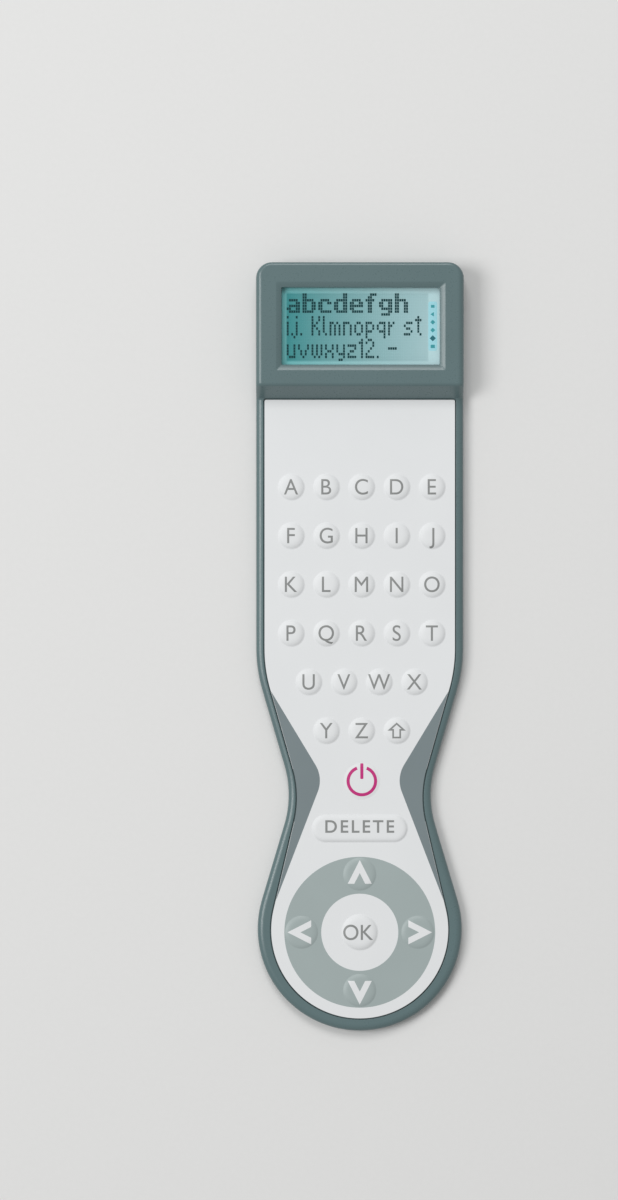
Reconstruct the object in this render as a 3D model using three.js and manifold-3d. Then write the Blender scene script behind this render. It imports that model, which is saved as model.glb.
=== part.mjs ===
// A pocket electronic dictionary shaped as a bookmark. It lies on its back, face up.
// Millimetres, +Z out of the face, +Y towards the display, +X to the reader's right.
// The origin is on the table, under the middle of the case.
//
// A thin keypad body narrows to a waist and ends in a round bowl with the cursor keys.
// The thicker head at the other end holds the display, the circuit board and two coin cells.
import * as THREE from 'three';
import { mergeVertices, toCreasedNormals } from 'three/addons/utils/BufferGeometryUtils.js';
import Module from 'manifold-3d';

const wasm = await Module();
wasm.setup();

// Outline of the case, seen from the front
const caseLength = 184.2;
const topCornerRadius = 3.8;
const shoulderRise = 30.2;
const shoulderRadius = 36;
const waistWidth = 32;
const waistFromFoot = 56.6;
const waistRadius = 25;
const bowlRadius = 24.5;

// Plastic walls of the two shells
const rearFloor = 0.8;
const rearWall = 1.3;
const seamHeight = 1.6;
const frontWall = 1.5;
const plateThickness = 0.8;
const windowWall = 1.3;
const rearEdgeRadius = 0.7;
const rimEdgeRadius = 1;
const headEdgeRadius = 1.4;

// Raised head
const headSideGap = 1.05;
const headEndGap = 0.7;
const headFootBlock = 4.2;
const rampLength = 3;
const rampCrestRadius = 1.1;
const rampFootRadius = 0.8;

// Printed overlay that covers the keypad, and the groove round it
const overlayThickness = 0.25;
const overlayGroove = 0.3;
const overlayProud = 0.05;
const overlayCornerRadius = 0.4;
const sideRim = 2;
const waistRim = 1.75;
const bowlRim = 3.25;
const footRim = 3;

// Key switches under the overlay
const circuitThickness = 0.2;
const domeSheetThickness = 0.12;
const domeHeight = 0.3;
const domeRadius = 1.9;
const domeCrownRadius = 1.1;
const sheetClearance = 0.3;
const sheetHeadGap = 1.2;
const keyTravel = 0.3;
const travelMargin = 0.05;

// Keys: a flange under the plate, a stem through it, and the bump that a finger feels
const flangeThickness = 0.25;
const flangeOverhang = 0.4;
const keyGap = 0.25;
const keyRise = 0.6;
const deleteRise = 0.45;
const arrowRise = 0.35;
const powerRise = 0.2;
const bumpWallShare = 0.35;
const bumpShoulderShare = 0.8;
const bumpShoulderRiseShare = 0.7;
const letterKeyRadius = 2.9;
const commandKeyRadius = 4.05;
const deleteKeyMargin = 4.8;
const deleteKeyWidth = 6;
const deleteEdge = 0.35;

// Where the keys are
const firstRowShare = 0.229;
const powerDropShare = 1.03;
const columnMargin = 5.95;
const gridShift = 0.5;
const powerGap = 4.35;
const deleteGap = 3.9;
const navDrop = 0.55;
const arrowInset = 7.3;
const letterRows = ['ABCDE', 'FGHIJ', 'KLMNO', 'PQRST', 'UVWX', 'YZ^'];

// Coin cells, their compartment and its door
const cellDiameter = 20;
const cellHeight = 1.6;
const cellCapDiameter = 17.4;
const cellCapHeight = 0.25;
const cellGap = 1.2;
const cellClearance = 0.3;
const doorLedge = 0.8;
const compartmentWall = 0.8;
const compartmentCornerRadius = 2;
const doorClearance = 0.2;
const doorRecess = 0.05;
const nailNotchRadius = 3.2;
const nailNotchReach = 1.3;
const linkThickness = 0.15;
const linkWidth = 6;
const linkOverlap = 8;
const contactHeight = 0.45;
const contactThickness = 0.15;
const contactWidth = 3;
const contactLength = 7;
const contactFootLength = 2;

// Circuit board and what stands on it
const boardThickness = 0.8;
const boardClearance = 1.3;
const boardTopGap = 1.9;
const boardFootGap = 0.4;
const boardCornerRadius = 1;
const tailRoom = 2.4;
const tailWidth = 12;
const tailBendLength = 0.6;
const tailContactLength = 0.9;
const controllerRadius = 3.6;
const controllerHeight = 0.5;
const controllerShift = 7;
const crystalLength = 3.2;
const crystalWidth = 1.5;
const crystalHeight = 0.45;
const capacitorLength = 2;
const capacitorWidth = 1.2;
const capacitorHeight = 0.5;

// Display
const componentClearance = 0.1;
const glassThickness = 0.7;
const glassTopGap = 0.15;
const frameSideWall = 1.85;
const frameTopWall = 2.1;
const frameFootWall = 1.4;
const glassLedge = 3;
const glassClearance = 0.2;
const glassSeat = 0.8;
const reflectorThickness = 0.15;
const reflectorClearance = 0.2;
const connectorWidth = 1.6;
const connectorInset = 1.2;
const connectorClearance = 0.3;
const lensThickness = 0.8;
const lensLap = 1.9;
const windowSideBorder = 1.3;
const windowTopBorder = 2.05;
const windowFootBorder = 1.95;
const windowShift = 0.2;
const windowCornerRadius = 0.5;
const windowChamfer = 1.1;
const windowChamferDepth = 0.6;

// Screws
const screwRadius = 0.65;
const screwHeadRadius = 1.25;
const screwHeadHeight = 0.5;
const screwHeadClearance = 0.2;
const screwThreadClearance = 0.1;
const screwHoleClearance = 0.2;
const screwSink = 0.1;
const bossRadius = 2;
const screwTipGap = 0.25;
const headScrewLength = 3.4;
const headScrewInset = 4.65;
const bowlScrewInset = 5.9;
const bowlScrewAngle = Math.PI / 4;
const doorScrewInset = 1.5;
const doorScrewHeadHeight = 0.35;
const doorScrewLength = 1.6;
const driverSlotWidth = 0.35;
const driverSlotDepth = 0.2;

// Facets
const chordError = 0.06;
const edgeSteps = 2;
const keySides = 12;
const commandSides = 16;
const domeSides = 6;
const screwSides = 10;
const cellSides = 24;
const creaseAngle = Math.PI / 3.5;
const cutOverrun = 2;
const mergeTolerance = 1e-4;

// Heights of the layers, from the table up
const circuitTop = rearFloor + circuitThickness;
const domeSheetTop = circuitTop + domeSheetThickness;
const domeTop = domeSheetTop + domeHeight;
const flangeBottom = domeTop + keyTravel + travelMargin;
const plateBottom = flangeBottom + flangeThickness;
const plateTop = plateBottom + plateThickness;
const overlayTop = plateTop + overlayThickness;
const rimTop = overlayTop - overlayProud;
const cellBottom = rearFloor + linkThickness;
const cellTop = cellBottom + cellHeight;
const boardBottom = cellTop + contactHeight;
const boardTop = boardBottom + boardThickness;
const componentTop = boardTop + Math.max(controllerHeight, crystalHeight, capacitorHeight);
const glassSeatHeight = componentTop + componentClearance + reflectorThickness;
const upperGlassBottom = glassSeatHeight + glassThickness;
const glassTop = upperGlassBottom + glassThickness;
const lensBottom = glassTop + glassTopGap;
const lensTop = lensBottom + lensThickness;
const headTop = lensTop + windowWall;

// The head, sized to the two cells side by side in their walls
const caseTop = caseLength / 2;
const caseFoot = -caseLength / 2;
const cellPitch = cellDiameter + cellGap;
const compartmentWidth = cellPitch + cellDiameter + 2 * cellClearance;
const compartmentLength = cellDiameter + 2 * cellClearance;
const compartmentRim = doorLedge + compartmentWall;
const headWidth = compartmentWidth + 2 * (compartmentRim + headSideGap + rearWall);
const cellX = cellPitch / 2;
const cellY = caseTop - rearWall - headEndGap - compartmentRim - compartmentLength / 2;
const headCavityFootY = cellY - compartmentLength / 2 - compartmentRim - tailRoom;
const recessTopY = headCavityFootY - headFootBlock;

// The board and the display, sized to the head
const boardFootY = headCavityFootY + boardFootGap;
const boardHeadY = caseTop - boardTopGap;
const boardWidth = headWidth - 2 * (frontWall + boardClearance);
const boardLength = boardHeadY - boardFootY;
const boardY = (boardHeadY + boardFootY) / 2;
const glassFootY = boardFootY + frameFootWall;
const glassHeadY = boardHeadY - frameTopWall;
const glassWidth = boardWidth - 2 * frameSideWall;
const glassLength = glassHeadY - glassFootY;
const glassY = (glassHeadY + glassFootY) / 2;
const windowWidth = glassWidth - 2 * windowSideBorder;
const windowLength = glassLength - windowTopBorder - windowFootBorder;
const windowY = glassHeadY - windowTopBorder - windowLength / 2;

// The keypad, from the bowl up
const overlayTopY = recessTopY - overlayGroove;
const overlayHalfWidth = headWidth / 2 - sideRim;
const overlayBowlRadius = bowlRadius - bowlRim;
const overlayBowlY = caseFoot + footRim + overlayBowlRadius;
const navCentreY = overlayBowlY - navDrop;
const arrowDistance = overlayBowlRadius - arrowInset;
const deleteKeyLength = waistWidth - 2 * deleteKeyMargin;
const deleteY = navCentreY + arrowDistance + commandKeyRadius + deleteGap + deleteKeyWidth / 2;
const powerY = deleteY + deleteKeyWidth / 2 + powerGap + commandKeyRadius;
const firstRowY = overlayTopY - (overlayTopY - powerY) * firstRowShare;
const rowPitch = (firstRowY - powerY) / (letterRows.length - 1 + powerDropShare);
const columnPitch = (2 * (overlayHalfWidth - columnMargin)) / (letterRows[0].length - 1);

function material(colour, roughness, metalness = 0) {
  return new THREE.MeshStandardMaterial({ color: colour, roughness, metalness });
}

const greyPlastic = material(0x66777a, 0.45);
const overlayFilm = material(0xdfe1e1, 0.5);
const keyWhite = material(0xe2e4e4, 0.5);
const keyGreen = material(0x9fb2b1, 0.5);
const clearLens = material(0xcfe3e4, 0.08);
const displayGlass = material(0x8fbfc2, 0.15);
const reflectorFilm = material(0xb9c9c6, 0.35, 0.4);
const whitePlastic = material(0xe8e8e4, 0.6);
const boardGreen = material(0x2c6b45, 0.5);
const blackEpoxy = material(0x17181a, 0.4);
const silverMetal = material(0xbfc2c5, 0.3, 0.9);
const steel = material(0x8f9396, 0.35, 0.9);
const rubberGrey = material(0x55585a, 0.8);
const amberFilm = material(0xb8813a, 0.4);
const clearSheet = material(0xd7dcdf, 0.35);
const ceramicTan = material(0xa08a6a, 0.6);

// A closed three.js geometry as a solid that can be joined and cut.
function solidOf(geometry) {
  const plain = geometry.clone();
  plain.deleteAttribute('normal');
  plain.deleteAttribute('uv');
  const merged = mergeVertices(plain, mergeTolerance);
  const vertProperties = merged.attributes.position.array;
  return new wasm.Manifold(new wasm.Mesh({ numProp: 3, vertProperties, triVerts: merged.index.array }));
}

// The solid back as a geometry, smooth round its curves and crisp at its edges.
function geometryOf(solid) {
  const mesh = solid.getMesh();
  const geometry = new THREE.BufferGeometry();
  geometry.setAttribute('position', new THREE.BufferAttribute(mesh.vertProperties, mesh.numProp));
  geometry.setIndex(new THREE.BufferAttribute(mesh.triVerts, 1));
  return toCreasedNormals(geometry, creaseAngle);
}

// A closed outline from corners [x, y, radius], each corner rounded by its own arc.
function roundedLoop(corners) {
  const points = [];
  const add = (point) => {
    const last = points.at(-1);
    if (!last || last.distanceTo(point) > mergeTolerance) points.push(point);
  };
  corners.forEach(([x, y, radius], i) => {
    const [px, py] = corners.at(i - 1);
    const [nx, ny] = corners[(i + 1) % corners.length];
    const corner = new THREE.Vector2(x, y);
    const back = new THREE.Vector2(px - x, py - y).normalize();
    const ahead = new THREE.Vector2(nx - x, ny - y).normalize();
    const half = Math.acos(THREE.MathUtils.clamp(back.dot(ahead), -1, 1)) / 2;
    if (radius === 0) {
      add(corner);
      return;
    }
    const middle = back.clone().add(ahead).normalize();
    const centre = corner.clone().addScaledVector(middle, radius / Math.sin(half));
    const start = corner.clone().addScaledVector(back, radius / Math.tan(half)).sub(centre);
    const turn = (Math.PI - 2 * half) * Math.sign(ahead.cross(back));
    const arcStep = 2 * Math.acos(Math.max(0, 1 - chordError / radius));
    const steps = Math.max(2, Math.ceil(Math.abs(turn) / arcStep));
    for (let s = 0; s <= steps; s++) {
      add(start.clone().rotateAround(new THREE.Vector2(), (turn * s) / steps).add(centre));
    }
  });
  if (points[0].distanceTo(points.at(-1)) < mergeTolerance) points.pop();
  return points;
}

// The bookmark's outline: a straight upper part, a waist, and a round bowl that its sides run into.
function bookmarkLoop({ top, halfWidth, cornerRadius, waistX, bowlY, radius }) {
  const waistY = caseFoot + waistFromFoot;
  const shoulderY = waistY + shoulderRise;
  const reach = Math.hypot(waistX, waistY - bowlY);
  const touch = Math.atan2(waistY - bowlY, waistX) - Math.acos(radius / reach);
  const footX = (radius * (1 + Math.sin(touch))) / Math.cos(touch);
  const right = [
    [halfWidth, top, cornerRadius],
    [halfWidth, shoulderY, shoulderRadius],
    [waistX, waistY, waistRadius],
    [footX, bowlY - radius, radius],
  ];
  const left = right.map(([x, y, r]) => [-x, y, r]).reverse();
  return roundedLoop([...right, ...left]);
}

// The same outline moved inwards by a distance, or outwards if it is negative.
function insetLoop(loop, distance) {
  const turnsRight = THREE.ShapeUtils.area(loop) < 0;
  const inward = turnsRight ? -1 : 1;
  return loop.map((point, i) => {
    const before = point.clone().sub(loop.at(i - 1)).normalize();
    const after = loop[(i + 1) % loop.length].clone().sub(point).normalize();
    const normal = new THREE.Vector2(-before.y - after.y, before.x + after.x).multiplyScalar(inward);
    return point.clone().addScaledVector(normal, distance / (1 + before.dot(after)));
  });
}

function rectangleLoop(x, y, width, length, radius = 0) {
  const [w, l] = [width / 2, length / 2];
  return roundedLoop([
    [x - w, y - l, radius],
    [x + w, y - l, radius],
    [x + w, y + l, radius],
    [x - w, y + l, radius],
  ]);
}

// An outline raised straight up from one height to another.
function prism(loop, bottom, top) {
  const settings = { depth: top - bottom, bevelEnabled: false };
  return solidOf(new THREE.ExtrudeGeometry(new THREE.Shape(loop), settings).translate(0, 0, bottom));
}

// A prism whose upper or lower edge is rounded.
function slab(loop, bottom, top, radius, roundTop) {
  const [low, high] = roundTop ? [bottom - radius, top] : [bottom, top + radius];
  const geometry = new THREE.ExtrudeGeometry(new THREE.Shape(loop), {
    depth: high - low - 2 * radius,
    bevelSize: radius,
    bevelOffset: -radius,
    bevelThickness: radius,
    bevelSegments: edgeSteps,
  });
  const rounded = solidOf(geometry.translate(0, 0, low + radius));
  return rounded.intersect(prism(insetLoop(loop, -cutOverrun), bottom, top));
}

// A prism whose upper edge leans out as it rises: what a chamfered window takes away.
function flaredPrism(loop, bottom, height, flare) {
  const geometry = new THREE.ExtrudeGeometry(new THREE.Shape(loop), {
    depth: cutOverrun,
    bevelSize: flare,
    bevelThickness: height,
    bevelSegments: 1,
  });
  return solidOf(geometry.translate(0, 0, bottom + height));
}

function disc(x, y, radius, bottom, top, sides = screwSides) {
  const geometry = new THREE.CylinderGeometry(radius, radius, top - bottom, sides);
  return solidOf(geometry.rotateX(Math.PI / 2).translate(x, y, (bottom + top) / 2));
}

// A body of revolution about Z, from a profile of [radius, height] points.
function turned(profile, sides) {
  const points = profile.map(([radius, height]) => new THREE.Vector2(radius, height));
  return new THREE.LatheGeometry(points, sides).rotateX(Math.PI / 2);
}

// A profile of [y, z] points drawn out along X.
function drawnAlongX(profile, width) {
  const shape = new THREE.Shape(profile.map(([y, z]) => new THREE.Vector2(y, z)));
  const geometry = new THREE.ExtrudeGeometry(shape, { depth: width, bevelEnabled: false });
  const axes = new THREE.Matrix4().makeBasis(
    new THREE.Vector3(0, 1, 0),
    new THREE.Vector3(0, 0, 1),
    new THREE.Vector3(1, 0, 0),
  );
  return solidOf(geometry.applyMatrix4(axes).translate(-width / 2, 0, 0));
}

// A thin strip of even thickness along a path of [along, height] points.
function stripProfile(path, thickness) {
  const line = path.map(([along, height]) => new THREE.Vector2(along, height));
  const offset = line.map((point, i) => {
    const before = point.clone().sub(line[i - 1] ?? point).normalize();
    const after = (line[i + 1] ?? point).clone().sub(point).normalize();
    const sum = before.clone().add(after).normalize();
    const stretch = i === 0 || i === line.length - 1 ? 1 : sum.dot(before);
    return [point.x - (sum.y * thickness) / stretch, point.y + (sum.x * thickness) / stretch];
  });
  return [...path, ...offset.reverse()];
}

const caseLoop = bookmarkLoop({
  top: caseTop,
  halfWidth: headWidth / 2,
  cornerRadius: topCornerRadius,
  waistX: waistWidth / 2,
  bowlY: caseFoot + bowlRadius,
  radius: bowlRadius,
});
const overlayLoop = bookmarkLoop({
  top: overlayTopY,
  halfWidth: overlayHalfWidth,
  cornerRadius: overlayCornerRadius,
  waistX: waistWidth / 2 - waistRim,
  bowlY: overlayBowlY,
  radius: overlayBowlRadius,
});

// Every key: its name, its middle and its size. The upward arrow in the last row is the shift key.
function keyList() {
  const keys = [];
  letterRows.forEach((row, r) => {
    [...row].forEach((letter, c) => {
      const x = gridShift + (c - (row.length - 1) / 2) * columnPitch;
      const name = letter === '^' ? 'key_shift' : `key_${letter.toLowerCase()}`;
      const y = firstRowY - r * rowPitch;
      keys.push({ name, x, y, rise: keyRise, radius: letterKeyRadius, sides: keySides });
    });
  });
  const command = { radius: commandKeyRadius, sides: commandSides };
  keys.push({ name: 'key_power', x: gridShift, y: powerY, rise: powerRise, ...command });
  keys.push({ name: 'key_delete', x: 0, y: deleteY, rise: deleteRise, pill: true });
  keys.push({ name: 'key_ok', x: 0, y: navCentreY, rise: keyRise, ...command });
  const arrows = ['key_right', 'key_up', 'key_left', 'key_down'];
  arrows.forEach((name, i) => {
    const angle = (i * Math.PI) / 2;
    const [x, y] = [Math.cos(angle) * arrowDistance, navCentreY + Math.sin(angle) * arrowDistance];
    keys.push({ name, x, y, rise: arrowRise, green: true, ...command });
  });
  return keys;
}
const keys = keyList();

function pillLoop(key, grow) {
  const width = deleteKeyWidth + 2 * grow;
  return rectangleLoop(key.x, key.y, deleteKeyLength + 2 * grow, width, width / 2);
}

// The opening that a key runs in, from one height to another.
function keyOpening(key, bottom, top) {
  if (key.pill) return prism(pillLoop(key, keyGap), bottom, top);
  return disc(key.x, key.y, key.radius + keyGap, bottom, top, key.sides);
}

function roundKey({ radius, sides, rise }) {
  const wallTop = overlayTop + rise * bumpWallShare;
  const crownTop = overlayTop + rise;
  const shoulderTop = wallTop + (crownTop - wallTop) * bumpShoulderRiseShare;
  return turned(
    [
      [0, flangeBottom],
      [radius + flangeOverhang, flangeBottom],
      [radius + flangeOverhang, plateBottom],
      [radius, plateBottom],
      [radius, wallTop],
      [radius * bumpShoulderShare, shoulderTop],
      [0, crownTop],
    ],
    sides,
  );
}

function pillKey(key) {
  const local = { ...key, x: 0, y: 0 };
  const flange = prism(pillLoop(local, flangeOverhang), flangeBottom, plateBottom);
  const stem = slab(pillLoop(local, 0), flangeBottom, overlayTop + key.rise, deleteEdge, true);
  return geometryOf(flange.add(stem));
}

// Places of the case screws: two at the foot of the head, two in the bowl.
const headScrewX = headWidth / 2 - headScrewInset;
const headScrewY = recessTopY + headFootBlock / 2;
const bowlScrewReach = bowlRadius - bowlScrewInset;
const bowlScrewX = bowlScrewReach * Math.cos(bowlScrewAngle);
const bowlScrewY = caseFoot + bowlRadius - bowlScrewReach * Math.sin(bowlScrewAngle);
const screwSeat = screwSink + screwHeadHeight;
const bowlScrewTip = plateTop - screwTipGap;
const headScrewTip = screwSeat + headScrewLength;
const caseScrews = [
  { name: 'case_screw_head_left', x: -headScrewX, y: headScrewY, tip: headScrewTip },
  { name: 'case_screw_head_right', x: headScrewX, y: headScrewY, tip: headScrewTip },
  { name: 'case_screw_bowl_left', x: -bowlScrewX, y: bowlScrewY, tip: bowlScrewTip - screwTipGap },
  { name: 'case_screw_bowl_right', x: bowlScrewX, y: bowlScrewY, tip: bowlScrewTip - screwTipGap },
];

function frontCase() {
  const profile = roundedLoop([
    [recessTopY - cutOverrun, seamHeight, 0],
    [caseTop + cutOverrun, seamHeight, 0],
    [caseTop + cutOverrun, headTop, 0],
    [recessTopY + rampLength, headTop, rampCrestRadius],
    [recessTopY, rimTop, rampFootRadius],
    [recessTopY - cutOverrun, rimTop, 0],
  ]).map((p) => [p.x, p.y]);
  const body = slab(caseLoop, seamHeight, rimTop, rimEdgeRadius, true);
  const head = slab(caseLoop, seamHeight, headTop, headEdgeRadius, true);
  let made = body.add(head.intersect(drawnAlongX(profile, headWidth + cutOverrun)));

  const inner = insetLoop(caseLoop, frontWall);
  made = made.subtract(prism(insetLoop(overlayLoop, -overlayGroove), plateTop, headTop + cutOverrun));
  made = made.subtract(prism(inner, seamHeight - cutOverrun, plateBottom));
  const cavityBox = rectangleLoop(0, headCavityFootY + caseLength / 2, headWidth, caseLength);
  const headCavity = prism(inner, seamHeight - cutOverrun, lensTop);
  made = made.subtract(headCavity.intersect(prism(cavityBox, seamHeight - cutOverrun, lensTop)));

  const opening = rectangleLoop(windowShift, windowY, windowWidth, windowLength, windowCornerRadius);
  made = made.subtract(prism(opening, lensTop - cutOverrun, headTop + cutOverrun));
  made = made.subtract(flaredPrism(opening, headTop - windowChamferDepth, windowChamferDepth, windowChamfer));

  for (const key of keys) {
    made = made.subtract(keyOpening(key, plateBottom - cutOverrun, plateTop + cutOverrun));
  }
  for (const { x, y, tip } of caseScrews) {
    made = made.add(disc(x, y, bossRadius, seamHeight, plateTop));
    const hole = screwRadius + screwThreadClearance;
    made = made.subtract(disc(x, y, hole, seamHeight - cutOverrun, tip + screwTipGap));
  }
  return made;
}

// An outline that grows with the battery compartment's.
function compartmentLoop(grow) {
  const radius = compartmentCornerRadius + grow;
  return rectangleLoop(0, cellY, compartmentWidth + 2 * grow, compartmentLength + 2 * grow, radius);
}

const doorScrewY = cellY + compartmentLength / 2 - doorScrewInset;
const doorScrewTip = rearFloor + doorScrewLength;

function rearCover() {
  let made = slab(caseLoop, 0, seamHeight, rearEdgeRadius, false);
  made = made.subtract(prism(insetLoop(caseLoop, rearWall), rearFloor, seamHeight + cutOverrun));
  made = made.add(prism(compartmentLoop(compartmentRim), 0, boardBottom));
  for (const { x, y } of caseScrews) made = made.add(disc(x, y, bossRadius, 0, seamHeight));
  made = made.subtract(prism(compartmentLoop(0), rearFloor - cutOverrun, boardBottom + cutOverrun));
  made = made.add(disc(0, doorScrewY, bossRadius, rearFloor, boardBottom));
  made = made.subtract(prism(compartmentLoop(doorLedge), -cutOverrun, rearFloor));
  const doorHole = screwRadius + screwThreadClearance;
  made = made.subtract(disc(0, doorScrewY, doorHole, rearFloor - cutOverrun, doorScrewTip + screwTipGap));
  for (const { x, y } of caseScrews) {
    made = made.subtract(disc(x, y, screwHeadRadius + screwHeadClearance, -cutOverrun, screwSeat));
    made = made.subtract(disc(x, y, screwRadius + screwHoleClearance, -cutOverrun, seamHeight + cutOverrun));
  }
  return made;
}

function batteryDoor() {
  const seat = doorRecess + doorScrewHeadHeight;
  const loop = compartmentLoop(doorLedge - doorClearance);
  const footY = cellY - compartmentLength / 2 - doorLedge + doorClearance;
  const notchY = footY - nailNotchRadius + nailNotchReach;
  return prism(loop, doorRecess, rearFloor)
    .subtract(disc(0, notchY, nailNotchRadius, -cutOverrun, rearFloor / 2, commandSides))
    .subtract(disc(0, doorScrewY, screwHeadRadius + screwHeadClearance, -cutOverrun, seat))
    .subtract(disc(0, doorScrewY, screwRadius + screwHoleClearance, -cutOverrun, rearFloor + cutOverrun));
}

// A pan-head screw that points up, with a slot in its head.
function screw(headBottom, headHeight, tip) {
  const seat = headBottom + headHeight;
  const shape = turned(
    [
      [0, headBottom],
      [screwHeadRadius, headBottom],
      [screwHeadRadius, seat],
      [screwRadius, seat],
      [screwRadius, tip - screwRadius / 2],
      [screwRadius / 2, tip],
      [0, tip],
    ],
    screwSides,
  );
  const slot = rectangleLoop(0, 0, 2 * screwHeadRadius + cutOverrun, driverSlotWidth);
  return solidOf(shape).subtract(prism(slot, headBottom - cutOverrun, headBottom + driverSlotDepth));
}

// The two cells are in series, so one has its narrower negative cap up and the other has it down.
function coinCell(capUp) {
  const radius = cellDiameter / 2;
  const capRadius = cellCapDiameter / 2;
  const canTop = cellTop - cellCapHeight;
  const upright = [
    [0, cellBottom],
    [radius, cellBottom],
    [radius, canTop],
    [capRadius, canTop],
    [capRadius, cellTop],
    [0, cellTop],
  ];
  const upsideDown = upright.map(([r, height]) => [r, cellBottom + cellTop - height]).reverse();
  return turned(capUp ? upright : upsideDown, cellSides);
}

// A leaf spring soldered under the board, bent down on to its cell.
function batteryContact() {
  const footHeight = boardBottom - contactThickness;
  const path = [
    [0, footHeight],
    [contactFootLength, footHeight],
    [contactLength, cellTop],
    [contactLength + contactFootLength, cellTop],
  ];
  const middle = (contactLength + contactFootLength) / 2;
  return drawnAlongX(stripProfile(path, contactThickness), contactWidth).translate(0, cellY - middle, 0);
}

// The outline of a sheet inside the keypad, cleared round the screw bosses.
function keypadSheet(bottom, top) {
  const loop = insetLoop(caseLoop, rearWall + sheetClearance);
  const limit = overlayTopY - sheetHeadGap;
  let made = prism(loop, bottom, top);
  const below = rectangleLoop(0, limit - caseLength, 2 * headWidth, 2 * caseLength);
  made = made.intersect(prism(below, bottom, top));
  for (const { x, y } of caseScrews) {
    made = made.subtract(disc(x, y, bossRadius + sheetClearance, bottom - cutOverrun, top + cutOverrun));
  }
  return made;
}

// The printed circuit, with a tail that climbs from the rear cover to the board.
function keyCircuit() {
  const start = overlayTopY - sheetHeadGap;
  const bendEnd = boardFootY + tailBendLength;
  const rise = [
    [start - sheetHeadGap, rearFloor],
    [boardFootY, rearFloor],
    [bendEnd, boardBottom - circuitThickness],
    [bendEnd + tailContactLength, boardBottom - circuitThickness],
  ];
  return keypadSheet(rearFloor, circuitTop).add(drawnAlongX(stripProfile(rise, circuitThickness), tailWidth));
}

function domeSheet() {
  let made = keypadSheet(circuitTop, domeSheetTop);
  const height = domeTop - circuitTop;
  for (const { x, y } of keys) {
    const dome = new THREE.CylinderGeometry(domeCrownRadius, domeRadius, height, domeSides);
    made = made.add(solidOf(dome.rotateX(Math.PI / 2).translate(x, y, circuitTop + height / 2)));
  }
  return made;
}

function keypadOverlay() {
  let made = prism(overlayLoop, plateTop, overlayTop);
  for (const key of keys) {
    made = made.subtract(keyOpening(key, plateTop - cutOverrun, overlayTop + cutOverrun));
  }
  return made;
}

const lowerGlassLength = glassLength - glassLedge;
const lowerGlassY = glassY + glassLedge / 2;
const connectorY = glassFootY + (glassLedge - connectorWidth) / 2;
const connectorMiddleY = connectorY + connectorWidth / 2;
const connectorLength = glassWidth - 2 * connectorInset;

// Two bonded plates; the upper one overhangs at the foot, where the connector meets it.
function displayPanel() {
  const lower = rectangleLoop(0, lowerGlassY, glassWidth, lowerGlassLength);
  const upper = rectangleLoop(0, glassY, glassWidth, glassLength);
  return prism(lower, glassSeatHeight, upperGlassBottom).add(prism(upper, upperGlassBottom, glassTop));
}

function displayFrame() {
  const outer = rectangleLoop(0, boardY, boardWidth, boardLength, boardCornerRadius);
  const grow = 2 * glassClearance;
  const pocket = rectangleLoop(0, glassY, glassWidth + grow, glassLength + grow);
  const light = rectangleLoop(0, lowerGlassY, glassWidth - 2 * glassSeat, lowerGlassLength - 2 * glassSeat);
  const slotWidth = connectorWidth + 2 * connectorClearance;
  const slotLength = connectorLength + 2 * connectorClearance;
  const slot = rectangleLoop(0, connectorMiddleY, slotLength, slotWidth);
  return prism(outer, boardTop, lensBottom)
    .subtract(prism(pocket, glassSeatHeight, lensBottom + cutOverrun))
    .subtract(prism(light, boardTop - cutOverrun, lensBottom))
    .subtract(prism(slot, boardTop - cutOverrun, lensBottom));
}

function reflector() {
  const shrink = 2 * (glassSeat + reflectorClearance);
  const loop = rectangleLoop(0, lowerGlassY, glassWidth - shrink, lowerGlassLength - shrink);
  return prism(loop, glassSeatHeight - reflectorThickness, glassSeatHeight);
}

function linkStrip() {
  const loop = rectangleLoop(0, cellY, cellGap + 2 * linkOverlap, linkWidth, linkWidth / 4);
  return prism(loop, rearFloor, cellBottom);
}

const part = new THREE.Group();
part.name = 'dictionary_bookmark';

function place(name, shape, surface, x = 0, y = 0) {
  const geometry = shape.isBufferGeometry ? shape : geometryOf(shape);
  const mesh = new THREE.Mesh(geometry, surface);
  mesh.name = name;
  mesh.position.set(x, y, 0);
  part.add(mesh);
  return mesh;
}

// Shells
place('rear_cover', rearCover(), greyPlastic);
place('front_case', frontCase(), greyPlastic);
place('battery_door', batteryDoor(), greyPlastic);
place('keypad_overlay', keypadOverlay(), overlayFilm);

// Display, seated in its frame between the board and the lens
const lensLoop = rectangleLoop(windowShift, windowY, windowWidth + 2 * lensLap, windowLength + 2 * lensLap);
place('display_lens', prism(lensLoop, lensBottom, lensTop), clearLens);
place('display_panel', displayPanel(), displayGlass);
place('display_reflector', reflector(), reflectorFilm);
place('display_frame', displayFrame(), whitePlastic);
const connectorLoop = rectangleLoop(0, connectorMiddleY, connectorLength, connectorWidth);
place('display_connector', prism(connectorLoop, boardTop, upperGlassBottom), rubberGrey);

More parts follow.
